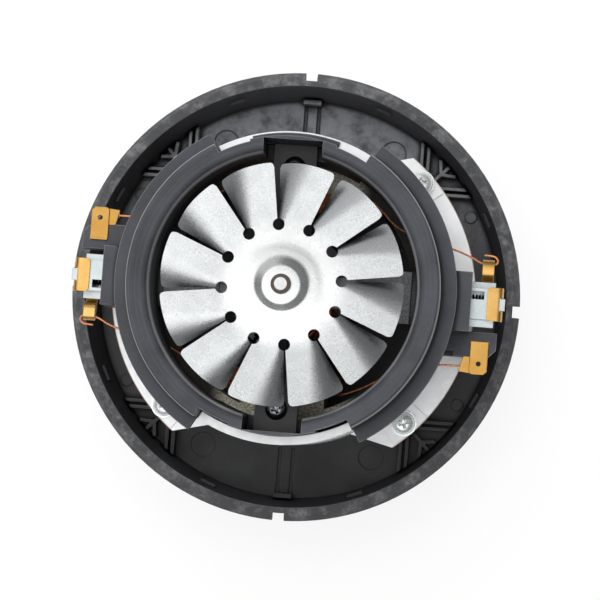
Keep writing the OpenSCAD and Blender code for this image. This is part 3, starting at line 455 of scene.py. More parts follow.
def coreFinish(name, spec):
    # varnished end sheets: pale beside the poles, with painted shade away from them and nearer the shaft
    finish, tree, shader, place = startFinish(name)
    radius, axes = radiusOf(tree, place)
    away = tree.nodes.new("ShaderNodeMath")
    away.operation = "ABSOLUTE"
    tree.links.new(axes["X"], away.inputs[0])
    fine = noiseOf(tree, place, 1400, 2, 0.75)
    pale, dark = rampOf(tree, fine, spec["pale"]), rampOf(tree, fine, spec["dark"])
    outer = mixColours(tree, between(tree, radius, *spec["outerRadius"]), dark, pale)
    base = mixColours(tree, between(tree, away.outputs[0], *spec["away"]), outer, dark)
    tree.links.new(base, shader.inputs["Base Color"])
    shader.inputs["Roughness"].default_value = 0.5
    bumpOf(tree, shader, fine, 0.5, 0.00008)
    return finish


shaftSpec = {
    "ground": [(0.3, (0.48, 0.485, 0.48)), (0.7, (0.60, 0.605, 0.60))],
    "chamferRadius": (0.0021, 0.0024), "chamferHeight": (0.1150, 0.1164), "brown": (0.21, 0.17, 0.14),
}


def shaftFinish(name, spec):
    # ground steel with a browned chamfer at the fan end
    finish, tree, shader, place = startFinish(name)
    shader.inputs["Metallic"].default_value = 1.0
    radius, axes = radiusOf(tree, place)
    cloud = noiseOf(tree, place, 120, 4)
    fine = noiseOf(tree, place, 900, 3, 0.6, (1, 1, 30))
    ground = rampOf(tree, cloud, spec["ground"])
    end = between(tree, axes["Z"], *spec["chamferHeight"])
    chamfer = both(tree, between(tree, radius, *spec["chamferRadius"]), end)
    tree.links.new(mixColours(tree, chamfer, ground, spec["brown"]), shader.inputs["Base Color"])
    tree.links.new(spread(tree, fine, 0.2, 0.34), shader.inputs["Roughness"])
    bumpOf(tree, shader, fine, 0.3, 0.00001, 0.0002)
    return finish


def speckledFinish(name, dark, light, rough, grain, metallic=0.0):
    finish, tree, shader, place = startFinish(name)
    shader.inputs["Metallic"].default_value = metallic
    fine = noiseOf(tree, place, grain, 2, 0.7)
    cloud = noiseOf(tree, place, 90, 3)
    tree.links.new(rampOf(tree, fine, [(0.35, dark), (0.65, light)]), shader.inputs["Base Color"])
    tree.links.new(spread(tree, cloud, *rough), shader.inputs["Roughness"])
    bumpOf(tree, shader, fine, 0.5, 0.00008)
    return finish


rimScuff = {"radius": (0.0776, 0.0782), "height": (0.041, 0.045), "colour": (0.15, 0.15, 0.155)}
# painted light on the dish floor: pale at the rear, painted shade at the front
dishFloorLight = {
    "radius": (0.0755, 0.0735), "height": (0.042, 0.038), "rear": (0.010, 0.055), "front": (-0.042, -0.060),
    "pale": (0.185, 0.188, 0.205), "clear": (0.010, 0.0103, 0.012),
}
# painted light on the frame: lighter hood tops, and highlight lines round the bore and the ring's edge
ringPaintedLight = {
    "hoodRadius": (0.0462, 0.0460), "hoodHeight": (0.0845, 0.0851),
    "hoodGrey": [(0.35, (0.10, 0.104, 0.112)), (0.65, (0.26, 0.265, 0.275))],
    "boreInner": (0.0462, 0.0464), "boreOuter": (0.0474, 0.0469), "boreHeight": (0.094, 0.096),
    "rimRadius": (0.0540, 0.0542), "rimHeight": (0.1038, 0.1046),
}
# edge colours, given last for the dish, frame and bridge, are painted highlights; these pieces also get painted
# shade in their corners
dishPlastic = plasticFinish(
    "dishPlastic", (0.020, 0.0204, 0.0222), (0.052, 0.0525, 0.0565), grain=2200, rough=(0.44, 0.6),
    depth=0.00005, edge=0.0006, shine=0.4, scuff=rimScuff, paintedShading=dishFloorLight, edgeHighlight=(0.11, 0.11, 0.115))
framePlastic = plasticFinish(
    "framePlastic", (0.017, 0.0175, 0.022), (0.058, 0.060, 0.072), grain=2300, rough=(0.48, 0.62),
    depth=0.00010, ring=ringPaintedLight, edgeHighlight=(0.20, 0.202, 0.21))
bridgePlastic = plasticFinish(
    "bridgePlastic", (0.009, 0.009, 0.011), (0.024, 0.0245, 0.028), grain=2800, rough=(0.4, 0.52),
    depth=0.00005, edge=0.0004, edgeHighlight=(0.09, 0.09, 0.095))
hubResin = plasticFinish("hubResin", (0.06, 0.03, 0.02), (0.12, 0.065, 0.04), 1800, (0.4, 0.55))
castMetal = cupFinish("castMetal", cupSpec)
fanSheet = galvanisedFinish("fanSheet", sheetSpec)
shaftSteel = shaftFinish("shaftSteel", shaftSpec)
coreVarnish = coreFinish("coreVarnish", coreSpec)
coverSteel = metalFinish(
    "coverSteel", (0.50, 0.51, 0.52), (0.60, 0.61, 0.62), (0.26, 0.38), 1500, strength=0.2, edge=0.0003)
impellerSheet = metalFinish("impellerSheet", (0.56, 0.57, 0.58), (0.66, 0.665, 0.67), (0.25, 0.4), 1800)
zincPlate = metalFinish("zincPlate", (0.68, 0.72, 0.71), (0.85, 0.88, 0.87), (0.22, 0.36), 1600, metallic=0.75)
darkScrew = metalFinish("darkScrew", (0.16, 0.165, 0.18), (0.28, 0.29, 0.31), (0.16, 0.26), 1500)
holderSteel = metalFinish("holderSteel", (0.42, 0.46, 0.47), (0.52, 0.56, 0.57), (0.24, 0.36), 1400, (1, 12, 12))
bearingSteel = metalFinish("bearingSteel", (0.46, 0.47, 0.48), (0.56, 0.57, 0.58), (0.12, 0.22), 2000)
cageBrass = metalFinish("cageBrass", (0.5, 0.37, 0.14), (0.66, 0.5, 0.2), (0.25, 0.4), 1600)
copperWire = metalFinish("copperWire", (0.34, 0.085, 0.03), (0.62, 0.20, 0.08), (0.2, 0.34), 1200, metallic=0.6)
leadCopper = metalFinish("leadCopper", (0.62, 0.21, 0.08), (0.80, 0.34, 0.15), (0.22, 0.36), 1200, metallic=0.7)
barCopper = metalFinish("barCopper", (0.6, 0.28, 0.14), (0.78, 0.40, 0.22), (0.2, 0.34), 1400, (1, 1, 20))
stampedBrass = metalFinish(
    "stampedBrass", (0.44, 0.235, 0.055), (0.54, 0.31, 0.085), (0.24, 0.38), 1100, (1, 14, 1), edge=0.00025)
brightBrass = metalFinish(
    "brightBrass", (0.54, 0.31, 0.085), (0.66, 0.42, 0.15), (0.2, 0.32), 1100, (14, 1, 1), edge=0.00025)
springWire = metalFinish("springWire", (0.045, 0.046, 0.05), (0.1, 0.1, 0.11), (0.25, 0.4), 1500)
armatureSteel = speckledFinish("armatureSteel", (0.12, 0.12, 0.12), (0.3, 0.3, 0.3), (0.35, 0.5), 1800, 0.8)
carbonBlock = speckledFinish("carbonBlock", (0.012, 0.012, 0.013), (0.05, 0.05, 0.052), (0.45, 0.6), 2200)

nodeFinish = {
    "base_housing": dishPlastic, "fan_cover": coverSteel, "motor_bracket": castMetal,
    "bracket_screws": zincPlate, "bracket_washers": zincPlate, "field_core": coreVarnish,
    "field_coil_front": copperWire, "field_coil_rear": copperWire, "through_bolts": darkScrew,
    "upper_frame": framePlastic, "bearing_bridge": bridgePlastic, "wave_washer": bearingSteel,
    "upper_bearing_outer": bearingSteel, "lower_bearing_outer": bearingSteel,
    "brush_holder_right": holderSteel, "brush_holder_left": holderSteel,
    "brush_clip_right": brightBrass, "brush_clip_left": brightBrass,
    "brush_terminal_right": brightBrass, "brush_terminal_left": brightBrass,
    "supply_tab_right": stampedBrass, "supply_tab_left": stampedBrass,
    "supply_lead_right": leadCopper, "supply_lead_left": leadCopper,
    "brush_lead_right": leadCopper, "brush_lead_left": leadCopper,
    "carbon_brush_right": carbonBlock, "carbon_brush_left": carbonBlock,
    "brush_spring_right": springWire, "brush_spring_left": springWire,
    "shaft": shaftSteel, "armature_core": armatureSteel, "armature_winding": copperWire,
    "commutator_hub": hubResin, "commutator_bars": barCopper,
    "upper_bearing_inner": bearingSteel, "lower_bearing_inner": bearingSteel,
    "upper_bearing_balls": bearingSteel, "lower_bearing_balls": bearingSteel,
    "upper_bearing_cage": cageBrass, "lower_bearing_cage": cageBrass,
    "cooling_fan": fanSheet, "fan_sleeve": shaftSteel, "impeller_back_plate": impellerSheet,
    "impeller_vanes": impellerSheet, "impeller_shroud": impellerSheet,
    "impeller_spacer": shaftSteel, "impeller_washer": zincPlate, "impeller_nut": zincPlate,
}
for name, node in nodes.items():
    node.data.materials.clear()
    node.data.materials.append(nodeFinish[name])
print("finishes on", len(nodes), "nodes")


# camera, floor and light

cameraView = {
    "place": (0.06696, -0.04953, 0.98902), "target": (0.003127, -0.002165, 0.060),
    "roll": 0.077, "lens": 154.08,
}


def addCamera(spec):
    camera = bpy.data.objects.new("camera", bpy.data.cameras.new("camera"))
    bpy.context.scene.collection.objects.link(camera)
    camera.data.sensor_width = 36
    camera.data.sensor_fit = "HORIZONTAL"
    camera.data.lens = spec["lens"]
    camera.data.clip_start = 0.01
    camera.data.clip_end = 50
    ahead = (Vector(spec["target"]) - Vector(spec["place"])).normalized()
    right = ahead.cross(Vector((0, 1, 0))).normalized()
    up = right.cross(ahead)
    cosine, sine = math.cos(spec["roll"]), math.sin(spec["roll"])
    side = cosine * right + sine * up
    top = -sine * right + cosine * up
    turn = Matrix((side, top, -ahead)).transposed().to_4x4()
    camera.matrix_world = Matrix.Translation(spec["place"]) @ turn
    bpy.context.scene.camera = camera


studio = {
    "floorSize": 9.0, "floorWhite": 0.92, "floorGlow": 0.86,
    "lamps": [
        {"name": "keyLamp", "place": (-0.22, -0.38, 1.50), "size": 1.4, "power": 9.6, "shine": True},
        {"name": "sideLamp", "place": (-0.75, 0.85, 1.05), "size": 1.4, "power": 3.4, "shine": True},
        {"name": "skyLamp", "place": (-0.22, 0.85, 1.45), "size": 1.6, "power": 30.0, "shine": False},
    ],
    # brightness of the room by height, from the horizon to straight up
    "room": [(0.0, 0.60), (0.16, 0.50), (0.40, 0.20), (0.80, 0.20), (0.92, 0.38), (1.0, 0.4)],
}


def addFloor(spec):
    deselectAll()
    bpy.ops.mesh.primitive_plane_add(size=spec["floorSize"], location=(0, 0, -0.0002))
    floor = bpy.context.object
    floor.name = "floor"
    finish = bpy.data.materials.new("paleFloor")
    finish.use_nodes = True
    tree = finish.node_tree
    tree.nodes.clear()
    output = tree.nodes.new("ShaderNodeOutputMaterial")
    matt = tree.nodes.new("ShaderNodeBsdfDiffuse")
    matt.inputs["Color"].default_value = (spec["floorWhite"],) * 3 + (1,)
    glow = tree.nodes.new("ShaderNodeEmission")
    glow.inputs["Strength"].default_value = 1.0
    rays = tree.nodes.new("ShaderNodeLightPath")
    seen = rays.outputs["Is Camera Ray"]
    for other in ("Is Glossy Ray", "Is Transmission Ray"):
        larger = tree.nodes.new("ShaderNodeMath")
        larger.operation = "MAXIMUM"
        tree.links.new(seen, larger.inputs[0])
        tree.links.new(rays.outputs[other], larger.inputs[1])
        seen = larger.outputs[0]
    share = tree.nodes.new("ShaderNodeMath")
    share.operation = "MULTIPLY"
    share.inputs[1].default_value = spec["floorGlow"]
    tree.links.new(seen, share.inputs[0])
    mix = tree.nodes.new("ShaderNodeMixShader")
    tree.links.new(share.outputs[0], mix.inputs[0])
    tree.links.new(matt.outputs[0], mix.inputs[1])
    tree.links.new(glow.outputs[0], mix.inputs[2])
    tree.links.new(mix.outputs[0], output.inputs["Surface"])
    floor.data.materials.append(finish)


def addLamp(spec):
    data = bpy.data.lights.new(spec["name"], "AREA")
    data.size = spec["size"]
    data.energy = spec["power"]
    lamp = bpy.data.objects.new(spec["name"], data)
    bpy.context.scene.collection.objects.link(lamp)
    lamp.location = spec["place"]
    lamp.rotation_euler = (Vector((0, 0, 0.06)) - Vector(spec["place"])).to_track_quat("-Z", "Y").to_euler()
    lamp.visible_glossy = spec["shine"]


def addWorld(spec):
    world = bpy.data.worlds.new("studio")
    bpy.context.scene.world = world
    world.use_nodes = True
    tree = world.node_tree
    back = tree.nodes["Background"]
    way = tree.nodes.new("ShaderNodeTexCoord").outputs["Generated"]
    split = tree.nodes.new("ShaderNodeSeparateXYZ")
    tree.links.new(way, split.inputs[0])
    stops = [(height, (0.97 * level, 0.985 * level, level)) for height, level in spec["room"]]
    tree.links.new(rampOf(tree, split.outputs["Z"], stops), back.inputs["Color"])


addCamera(cameraView)
addFloor(studio)
for lampSpec in studio["lamps"]:
    addLamp(lampSpec)
addWorld(studio)
bpy.context.scene.view_settings.view_transform = "Standard"
print("camera and studio set")


# cooling fan: one blade spun from a radial line, bent column by column, then copied round

fanSpec = {
    "blades": 12, "phase": 7.0, "height": 113.0, "sheet": 0.8,
    "jointRadius": 17.5, "holeCircle": 20.7, "holeWidth": 4.1, "tipRadius": 42.0,
    "rows": 22, "columns": 48, "rise": 1.2, "slit": 0.5, "gap": 0.7,
    "tipCorner": 1.6, "cornerShares": (1.0, 0.5, 0.2), "cutDepth": 20.0, "bevel": 0.2,
    # the bent flap: creases from a point behind the hole, their angles from the slit, and the fold in all
    "creases": 14, "creaseBehind": 3.2, "creaseFrom": 9.0, "creaseTo": 32.0, "fold": 31.0,
    "hub": [(3.5, 2.0), (6.2, 2.0), (6.6, 1.95), (6.9, 1.8), (7.2, 1.6), (8.7, 0.7), (9.1, 0.52), (9.6, 0.4),
            (10.4, 0.33), (11.6, 0.28), (12.8, 0.16), (14.0, 0.05), (15.0, 0.0), (17.5, 0.0)],
}


def buildFan(spec):
    share = 2 * math.pi / spec["blades"]
    joint, tip = spec["jointRadius"] * mm, spec["tipRadius"] * mm
    hinge = spec["holeCircle"] * mm
    columns, corner = spec["columns"], spec["tipCorner"] * mm
    row = (tip - joint) / spec["rows"]
    blade = profileLine("coolingFan", [(joint, 0, 0), (tip, 0, 0)])
    bpy.ops.mesh.select_all(action="SELECT")
    bpy.ops.mesh.subdivide(number_cuts=spec["rows"] - 1)
    bpy.ops.mesh.select_all(action="SELECT")
    turnSelected(-share / 2, "Z", (0, 0, 0))
    spinRound(columns, share)
    cleanUp()
    # every point's column and distance are noted before anything moves
    spots = [(math.hypot(v.co.x, v.co.y), round((math.atan2(v.co.y, v.co.x) / share + 0.5) * columns))
             for v in bmesh.from_edit_mesh(blade.data).verts]

    def pickColumn(column, low, high=1.0):
        pickPoints(blade, {index for index, (radius, where) in enumerate(spots)
                           if where == column and low < radius < high})

    opening = math.asin(spec["slit"] / 2 * mm / (tip - hinge))
    flat = [v.co.copy() for v in bmesh.from_edit_mesh(blade.data).verts]
    for column in range(columns + 1):
        u = column / columns
        angle = share * (u - 0.5)
        away = Vector((math.cos(angle), math.sin(angle), 0))
        edge = min(column, columns - column) * tip * share / columns
        if edge < corner:  # rounded tip corner
            short = corner - math.sqrt(corner ** 2 - (corner - edge) ** 2)
            for step, part in enumerate(spec["cornerShares"]):
                place = tip - step * row
                pickColumn(column, place - row / 3, place + row / 3)
                bpy.ops.transform.translate(value=-away * short * part)
        pickColumn(column, hinge)
        turnSelected(opening * (1 - 2 * u), "Z", away * hinge)
        bpy.ops.transform.translate(value=Vector((-away.y, away.x, 0)) * spec["gap"] / 2 * mm * (1 - 2 * u))
    apex = Vector((math.cos(share / 2), math.sin(share / 2), 0)) * (hinge - spec["creaseBehind"] * mm)
    for count in range(spec["creases"]):
        part = count / (spec["creases"] - 1)
        way = share / 2 - math.radians(spec["creaseFrom"] + (spec["creaseTo"] - spec["creaseFrom"]) * part)
        crease = Vector((math.cos(way), math.sin(way), 0))
        bpy.ops.mesh.select_all(action="SELECT")
        turnSelected(-way, "Z", apex)
        pickPoints(blade, {index for index, place in enumerate(flat)
                           if place.length > hinge and crease.cross(place - apex).z > 0})
        turnSelected(-math.radians(spec["fold"] / spec["creases"]), "X", apex)
        bpy.ops.mesh.select_all(action="SELECT")
        turnSelected(way, "Z", apex)
    for column in range(columns + 1):
        pickColumn(column, hinge)
        turnSelected(-math.atan2(spec["rise"] * (1 - column / columns) * mm, tip - hinge), "Y", (hinge, 0, 0))
    bpy.ops.mesh.select_all(action="SELECT")
    spinRound(spec["blades"] - 1, share * (spec["blades"] - 1), copies=True)
    cleanUp()
    editMode(False)
    hub = profileLine("fanHub", [(r * mm, 0, z * mm) for r, z in spec["hub"]])
    spinRound(spec["blades"] * columns)
    cleanUp()
    bpy.ops.mesh.select_all(action="SELECT")
    turnSelected(share / 2, "Z", (0, 0, 0))
    editMode(False)
    fan = joinAll("coolingFan", [blade, hub])
    editMode()
    cleanUp(0.00003)
    editMode(False)
    modify(fan, "SOLIDIFY", thickness=spec["sheet"] * mm, offset=0.0)
    deselectAll()
    bpy.ops.mesh.primitive_cylinder_add(vertices=40, radius=spec["holeWidth"] / 2 * mm,
                                        depth=spec["cutDepth"] * mm, location=(hinge, 0, 0))
    cutter = bpy.context.object
    bpy.ops.object.transform_apply(location=True)
    editMode()
    spinRound(spec["blades"] - 1, share * (spec["blades"] - 1), copies=True)
    bpy.ops.mesh.select_all(action="SELECT")
    turnSelected(share / 2, "Z", (0, 0, 0))
    editMode(False)
    cutOut(fan, cutter)
    placeAt(fan, (0, 0, spec["height"] * mm), math.radians(spec["phase"] + 180 / spec["blades"]))
    softenEdges(fan, spec["bevel"], 1, 60)
    return fan


coolingFan = seat(buildFan(fanSpec), fanSheet, "rotor", ["cooling_fan"], 40)
print("cooling fan:", len(coolingFan.data.polygons), "faces")


# wound pieces: a path of points with a round section, turned to mesh

def wireAlong(name, routes, radius, sides=8, smooth=0, closed=False):
    deselectAll()
    curve = bpy.data.curves.new(name, "CURVE")
    curve.dimensions = "3D"
    curve.bevel_depth = radius * mm
    curve.bevel_resolution = max(0, sides // 2 - 2)
    curve.use_fill_caps = True
    curve.resolution_u = max(1, smooth)
    for route in routes:
        spline = curve.splines.new("BEZIER" if smooth else "POLY")
        points = spline.bezier_points if smooth else spline.points
        points.add(len(route) - 1)
        for point, place in zip(points, route):
            scaled = [c * mm for c in place]
            point.co = scaled if smooth else scaled + [1.0]
            if smooth:
                point.handle_left_type = point.handle_right_type = "AUTO"
        spline.use_cyclic_u = closed
    piece = bpy.data.objects.new(name, curve)
    bpy.context.scene.collection.objects.link(piece)
    activate(piece)
    bpy.ops.object.convert(target="MESH")
    piece = bpy.context.object
    piece.name = name
    piece.data.name = name
    return piece


coilSpec = {
    "halfWidth": 15.98, "halfHeight": 13.48, "corner": 2.2, "middle": 54.5,
    "firstLayer": 28.98, "layers": 10, "turns": 8, "pitch": 0.74, "wire": 0.36,
    "cornerSteps": 6, "wander": 0.07, "endWire": 0.5,
    "start": (21.55, 29.3), "stop": (-21.55, 35.6), "top": 74.95,
}


def coilRoute(spec):
    route = []
    bends = spec["cornerSteps"]
    steps = 4 * bends
    for layer in range(spec["layers"]):
        inward = layer % 2 == 0
        for count in range(spec["turns"] * steps):
            t = count / steps
            out = spec["pitch"] * ((spec["turns"] - 0.5 - t) if inward else t)
            out = min(max(out, 0.0), spec["pitch"] * (spec["turns"] - 1))
            corner = int((count % steps) / bends)
            angle = math.radians(-90 + 90 * corner + 90 * (count % bends) / (bends - 1))
            sideX = (1, 1, -1, -1)[corner]
            sideZ = (-1, 1, 1, -1)[corner]
            radius = spec["corner"] + out
            wander = spec["wander"] * math.sin(count * 1.7 + layer * 2.3)
            route.append((
                sideX * (spec["halfWidth"] - spec["corner"]) + radius * math.cos(angle),
                spec["firstLayer"] + spec["pitch"] * layer + wander,
                spec["middle"] + sideZ * (spec["halfHeight"] - spec["corner"]) + radius * math.sin(angle)))
    return route


def buildCoil(spec):
    (startX, startY), (stopX, stopY) = spec["start"], spec["stop"]
    coil = wireAlong("fieldCoilRear", [coilRoute(spec)], spec["wire"], 8)
    ends = wireAlong("coilEnds", [
        [(startX, startY, spec["middle"]), (startX, startY, spec["top"])],
        [(stopX, stopY, spec["middle"]), (stopX, stopY, spec["top"])]], spec["endWire"], 10)
    return joinAll("fieldCoilRear", [coil, ends])


fieldCoilRear = buildCoil(coilSpec)
fieldCoilFront = halfTurn(fieldCoilRear, "fieldCoilFront")
seat(fieldCoilRear, copperWire, "frame", ["field_coil_rear"], 60)
seat(fieldCoilFront, copperWire, "frame", ["field_coil_front"], 60)
print("field coils:", len(fieldCoilRear.data.polygons), "faces each")

windingSpec = {
    "slots": 22, "span": 8, "outer": 18.6, "inner": 14.9, "dip": 4.0, "wire": 0.95,
    "top": 66.9, "bottom": 42.1, "end": 2.9, "steps": 14,
}


def windingLoop(spec, slot):
    route = []
    first = 2 * math.pi * (slot + 0.5) / spec["slots"]
    swing = 2 * math.pi * spec["span"] / spec["slots"]
    steps = spec["steps"]
    for high in (True, False):
        for count in range(steps + 1):
            t = count / steps if high else 1 - count / steps
            angle = first + swing * t
            bulge = math.sin(math.pi * t)
            radius = spec["outer"] + (spec["inner"] - spec["outer"]) * t - spec["dip"] * bulge
            arch = spec["end"] * bulge ** 0.6
            route.append((radius * math.cos(angle), radius * math.sin(angle),
                          spec["top"] + arch if high else spec["bottom"] - arch))
    return route


windingLoops = [windingLoop(windingSpec, slot) for slot in range(windingSpec["slots"])]
armatureWinding = wireAlong("armatureWinding", windingLoops, windingSpec["wire"], 10, closed=True)
seat(armatureWinding, copperWire, "rotor", ["armature_winding"], 60)
print("armature winding:", len(armatureWinding.data.polygons), "faces")

springSpec = {
    "inner": 42.9, "outer": 75.4, "radius": 3.05, "wire": 0.34, "curls": 30, "curlSteps": 16,
    "closing": 0.045, "height": 80.0, "travel": 12.0,
}


def springRoute(spec):
    route = []
    steps = spec["curls"] * spec["curlSteps"]
    length = spec["outer"] - spec["inner"] - 2 * spec["wire"]
    for count in range(steps + 1):
        t = count / steps
        along = t - spec["closing"] * math.sin(2 * math.pi * t)  # closed end curls
        angle = 2 * math.pi * spec["curls"] * t
        route.append((spec["inner"] + spec["wire"] + length * along,
                      spec["radius"] * math.cos(angle), spec["height"] + spec["radius"] * math.sin(angle)))
    return route


brushSpringRight = wireAlong("brushSpringRight", [springRoute(springSpec)], springSpec["wire"], 10)
brushSpringLeft = halfTurn(brushSpringRight, "brushSpringLeft")
for spring, side, sign in ((brushSpringRight, "right", 1), (brushSpringLeft, "left", -1)):
    seat(spring, springWire, "frame", ["brush_spring_" + side], 60)
    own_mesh(spring)
print("brush springs set")

leadSpec = {
    "wire": 0.35,
    "supply": [
        (63.5, -22.3, 78.75), (60.6, -22.3, 78.7), (57, -22.4, 78.6), (52, -22.8, 78.8), (45, -24, 79.1),
        (37, -28, 78.6), (29, -32.6, 78), (24, -34.8, 77), (21.55, -35.6, 76.2), (21.55, -35.6, 74.5)],
    "brush": [
        (68.7, 17.4, 79.8), (70.6, 17.3, 80.0), (72.3, 17.0, 80.1), (73.2, 16.2, 80.0), (73.4, 15.3, 79.7),
        (72.8, 14.5, 79.45), (71.0, 14.25, 79.4), (67.7, 14.6, 79.4), (63.5, 16.6, 79.5), (58, 18.6, 79.6),
        (50, 20.6, 79.6), (43, 22.5, 79.4), (36.0, 25.9, 79.2), (30.6, 31.0, 79.0), (26.4, 33.6, 78.6),
        (22.9, 31.4, 77.6), (21.55, 29.3, 76.0), (21.55, 29.3, 74.5)],
}
for kind, label in (("supply", "supplyLead"), ("brush", "brushLead")):
    right = wireAlong(label + "Right", [leadSpec[kind]], leadSpec["wire"], 12, 8)
    left = halfTurn(right, label + "Left")
    seat(right, leadCopper, "frame", [kind + "_lead_right"], 60)
    seat(left, leadCopper, "frame", [kind + "_lead_left"], 60)
print("leads set")


# screws with a cross recess

headOutline = [
    (0, 1.0), (0.28, 0.99), (0.52, 0.93), (0.74, 0.8), (0.9, 0.6), (0.98, 0.36), (1.0, 0.18), (0.97, 0.0)]
# shares of the recess's width, then of the head's height
recessSpec = {
    "armWide": 0.24, "pitFoot": 0.05, "pitTop": 0.34,
    "armFloor": 0.32, "armTall": 1.2, "armFoot": 0.5, "pitMiddle": 0.82,
    "taper": (0.45, 0.6, 1),
}


def panScrew(name, spec, place, turn):
    wide, high, shank, length = spec["width"] / 2, spec["height"], spec["shank"] / 2, spec["length"]
    cross, recess = spec["cross"], recessSpec
    points = [(r * wide * mm, 0, z * high * mm) for r, z in headOutline]
    points += [(shank * mm, 0, 0), (shank * mm, 0, -length * mm), (0, 0, -length * mm)]
    screw = profileLine(name, points)
    spinRound(48)
    cleanUp()
    editMode(False)
    for angle in (0, math.pi / 2):  # the two arms of the recess, narrower at the bottom
        deselectAll()
        bpy.ops.mesh.primitive_cube_add(size=1)
        arm = bpy.context.object
        arm.scale = (cross * mm, cross * recess["armWide"] * mm, high * recess["armTall"] * mm)
        arm.location = (0, 0, high * (recess["armFloor"] + recess["armTall"] / 2) * mm)
        bpy.ops.object.transform_apply(location=True, scale=True)
        editMode()
        pick(arm, lambda co: co.z < high * mm * recess["armFoot"])
        bpy.ops.transform.resize(value=recess["taper"])
        editMode(False)
        arm.data.transform(Matrix.Rotation(angle, 4, "Z"))
        cutOut(screw, arm)
    deselectAll()
    bpy.ops.mesh.primitive_cone_add(vertices=4, radius1=cross * recess["pitFoot"] * mm,
                                    radius2=cross * recess["pitTop"] * mm, depth=high * mm)
    middle = bpy.context.object
    middle.data.transform(Matrix.Translation((0, 0, high * recess["pitMiddle"] * mm)))
    cutOut(screw, middle)
    softenEdges(screw, 0.12, 2, 35)
    return placeAt(screw, [c * mm for c in place], math.radians(turn))


bracketScrewSpec = {
    "width": 8.3, "height": 2.57, "shank": 3.1, "length": 14.0, "cross": 5.2,
    "circle": 62.0, "seat": 55.3, "angles": (45, 135, 225, 315), "turns": (12, 55, 33, 20),
}
throughBoltSpec = {
    "width": 7.8, "height": 2.78, "shank": 3.95, "length": 63.0, "cross": 4.9,
    "circle": 42.5, "seat": 93.0, "sides": (1, -1), "turns": (5, 28),
}

screws = []
for degrees, turn in zip(bracketScrewSpec["angles"], bracketScrewSpec["turns"]):
    angle = math.radians(degrees)
    circle, seatHeight = bracketScrewSpec["circle"], bracketScrewSpec["seat"]
    place = (circle * math.cos(angle), circle * math.sin(angle), seatHeight)
    screws.append(panScrew("bracketScrew", bracketScrewSpec, place, turn))
seat(joinAll("bracketScrews", screws), zincPlate, "frame", ["bracket_screws"], 40)
screws = []
for side, turn in zip(throughBoltSpec["sides"], throughBoltSpec["turns"]):
    place = (0, side * throughBoltSpec["circle"], throughBoltSpec["seat"])
    screws.append(panScrew("throughBolt", throughBoltSpec, place, turn))
seat(joinAll("throughBolts", screws), darkScrew, "frame", ["through_bolts"], 40)
print("screws set")


# stamped brass: bent strips and flat blades

def bentStrip(name, line, width, thickness, corner=0.0, ends=()):
    strip = profileLine(name, [tuple(c * mm for c in point) for point in line])
    bpy.ops.mesh.select_all(action="SELECT")
    bpy.ops.mesh.extrude_region_move(TRANSFORM_OT_translate={"value": tuple(c * mm for c in width)})
    cleanUp()
    if corner:
        spots = [Vector(point) * mm for point in ends]
        pick(strip, lambda co: any((co - spot).length < 0.00005 for spot in spots))
        bpy.ops.mesh.bevel(offset=corner * mm, segments=5, affect="VERTICES")
    editMode(False)
    modify(strip, "SOLIDIFY", thickness=thickness * mm, offset=0.0, use_even_offset=True)
    return strip


def flatBlade(name, outline, low, high):
    blade = profileLine(name, [(x * mm, y * mm, low * mm) for x, y in outline + outline[:1]])
    cleanUp(outward=False)
    bpy.ops.mesh.select_all(action="SELECT")
    bpy.ops.mesh.edge_face_add()
    bpy.ops.mesh.select_all(action="SELECT")
    bpy.ops.mesh.extrude_region_move(TRANSFORM_OT_translate={"value": (0, 0, (high - low) * mm)})
    cleanUp()
    editMode(False)
    return blade


def drill(piece, x, y, width, low, high):
    deselectAll()
    bpy.ops.mesh.primitive_cylinder_add(vertices=32, radius=width / 2 * mm, depth=(high - low) * mm,
                                        location=(x * mm, y * mm, (low + high) / 2 * mm))
    cutOut(piece, bpy.context.object)


def notch(piece, low, high):
    deselectAll()
    bpy.ops.mesh.primitive_cube_add(size=1, location=[(a + b) / 2 * mm for a, b in zip(low, high)])
    bpy.context.object.scale = [(b - a) * mm for a, b in zip(low, high)]
    bpy.ops.object.transform_apply(location=True, scale=True)
    cutOut(piece, bpy.context.object)


clipSpec = {
    "half": 5.9, "sheet": 0.8, "corner": 1.3, "bevel": 0.1,
    "line": [(70.6, 84.9), (74.2, 84.9), (74.9, 84.8), (75.45, 84.5), (75.8, 84.0), (75.9, 83.3), (75.9, 75.6)],
    "notch": [(75.0, -2.3, 83.4), (77.4, 2.3, 86.0)],
}


def buildClip(spec):
    line = [(x, -spec["half"], z) for x, z in spec["line"]]
    ends = [(x, side * spec["half"], z) for x, z in (spec["line"][0], spec["line"][-1]) for side in (-1, 1)]
    clip = bentStrip("brushClipRight", line, (0, 2 * spec["half"], 0), spec["sheet"], spec["corner"], ends)
    notch(clip, *spec["notch"])
    softenEdges(clip, spec["bevel"], 2, 50)
    return clip


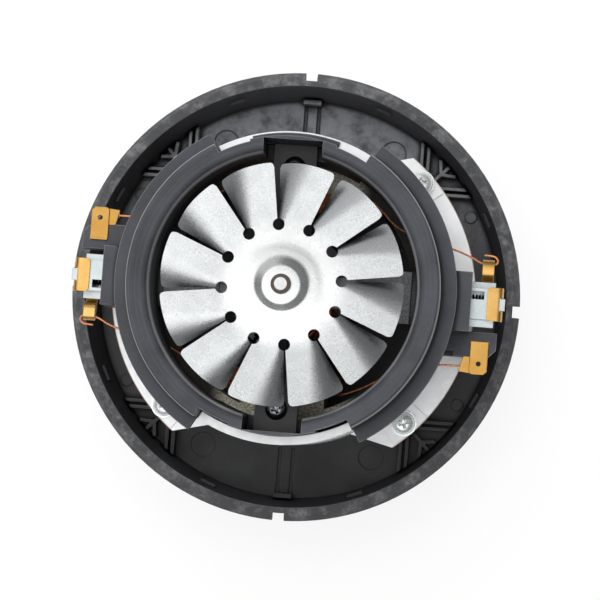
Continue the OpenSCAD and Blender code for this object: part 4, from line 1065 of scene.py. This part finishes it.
terminalSpec = {
    "left": 68.2, "width": 4.2, "sheet": 0.8, "bevel": 0.12,
    "line": [
        (6.2, 75.5), (8.2, 75.5), (8.9, 75.9), (9.6, 77.3), (10.3, 77.9), (13.9, 77.9), (14.8, 78.1), (15.35, 78.7),
        (15.5, 79.4), (15.35, 80.1), (14.8, 80.7), (13.9, 80.9), (11.6, 80.9), (10.6, 80.65), (9.95, 80.1)],
}


def buildTerminal(spec):
    line = [(spec["left"], y, z) for y, z in spec["line"]]
    lug = bentStrip("brushTerminalRight", line, (spec["width"], 0, 0), spec["sheet"])
    softenEdges(lug, spec["bevel"], 2, 50)
    return lug


tabSpec = {
    "outline": [(66.0, -13.2), (66.0, -24.1), (66.8, -24.9), (71.1, -24.9), (72.3, -23.7), (72.3, -13.2)],
    "low": 79.5, "high": 80.3, "hole": (69.15, -21.1, 1.65), "bevel": 0.12,
    "leg": [(66.0, -13.9), (72.3, -13.9), (72.3, -13.1), (66.0, -13.1)], "legFoot": 72.5, "legUnder": 0.05,
    "wing": [(66.4, -18.7), (66.4, -24.6), (62.3, -24.2), (63.6, -18.7)], "wingLow": 78.9, "wingHigh": 79.6,
    "barrel": [(62.7, -22.3, 78.2), (65.4, -22.3, 78.2)], "barrelRadius": 0.9,
}


def buildTab(spec):
    blade = flatBlade("supplyTabRight", spec["outline"], spec["low"], spec["high"])
    drill(blade, *spec["hole"], spec["low"] - 1, spec["high"] + 1)
    leg = flatBlade("tabLeg", spec["leg"], spec["legFoot"], spec["high"] - spec["legUnder"])
    wing = flatBlade("tabWing", spec["wing"], spec["wingLow"], spec["wingHigh"])
    barrel = wireAlong("tabBarrel", [spec["barrel"]], spec["barrelRadius"], 16)
    tab = joinAll("supplyTabRight", [blade, leg, wing, barrel])
    softenEdges(tab, spec["bevel"], 2, 50)
    return tab


brassPieces = [
    (buildClip(clipSpec), "brushClip", "brush_clip", brightBrass),
    (buildTerminal(terminalSpec), "brushTerminal", "brush_terminal", brightBrass),
    (buildTab(tabSpec), "supplyTab", "supply_tab", stampedBrass),
]
for right, label, node, finish in brassPieces:
    left = halfTurn(right, label + "Left")
    seat(right, finish, "frame", [node + "_right"], 35, True)
    seat(left, finish, "frame", [node + "_left"], 35, True)
print("brass pieces set")
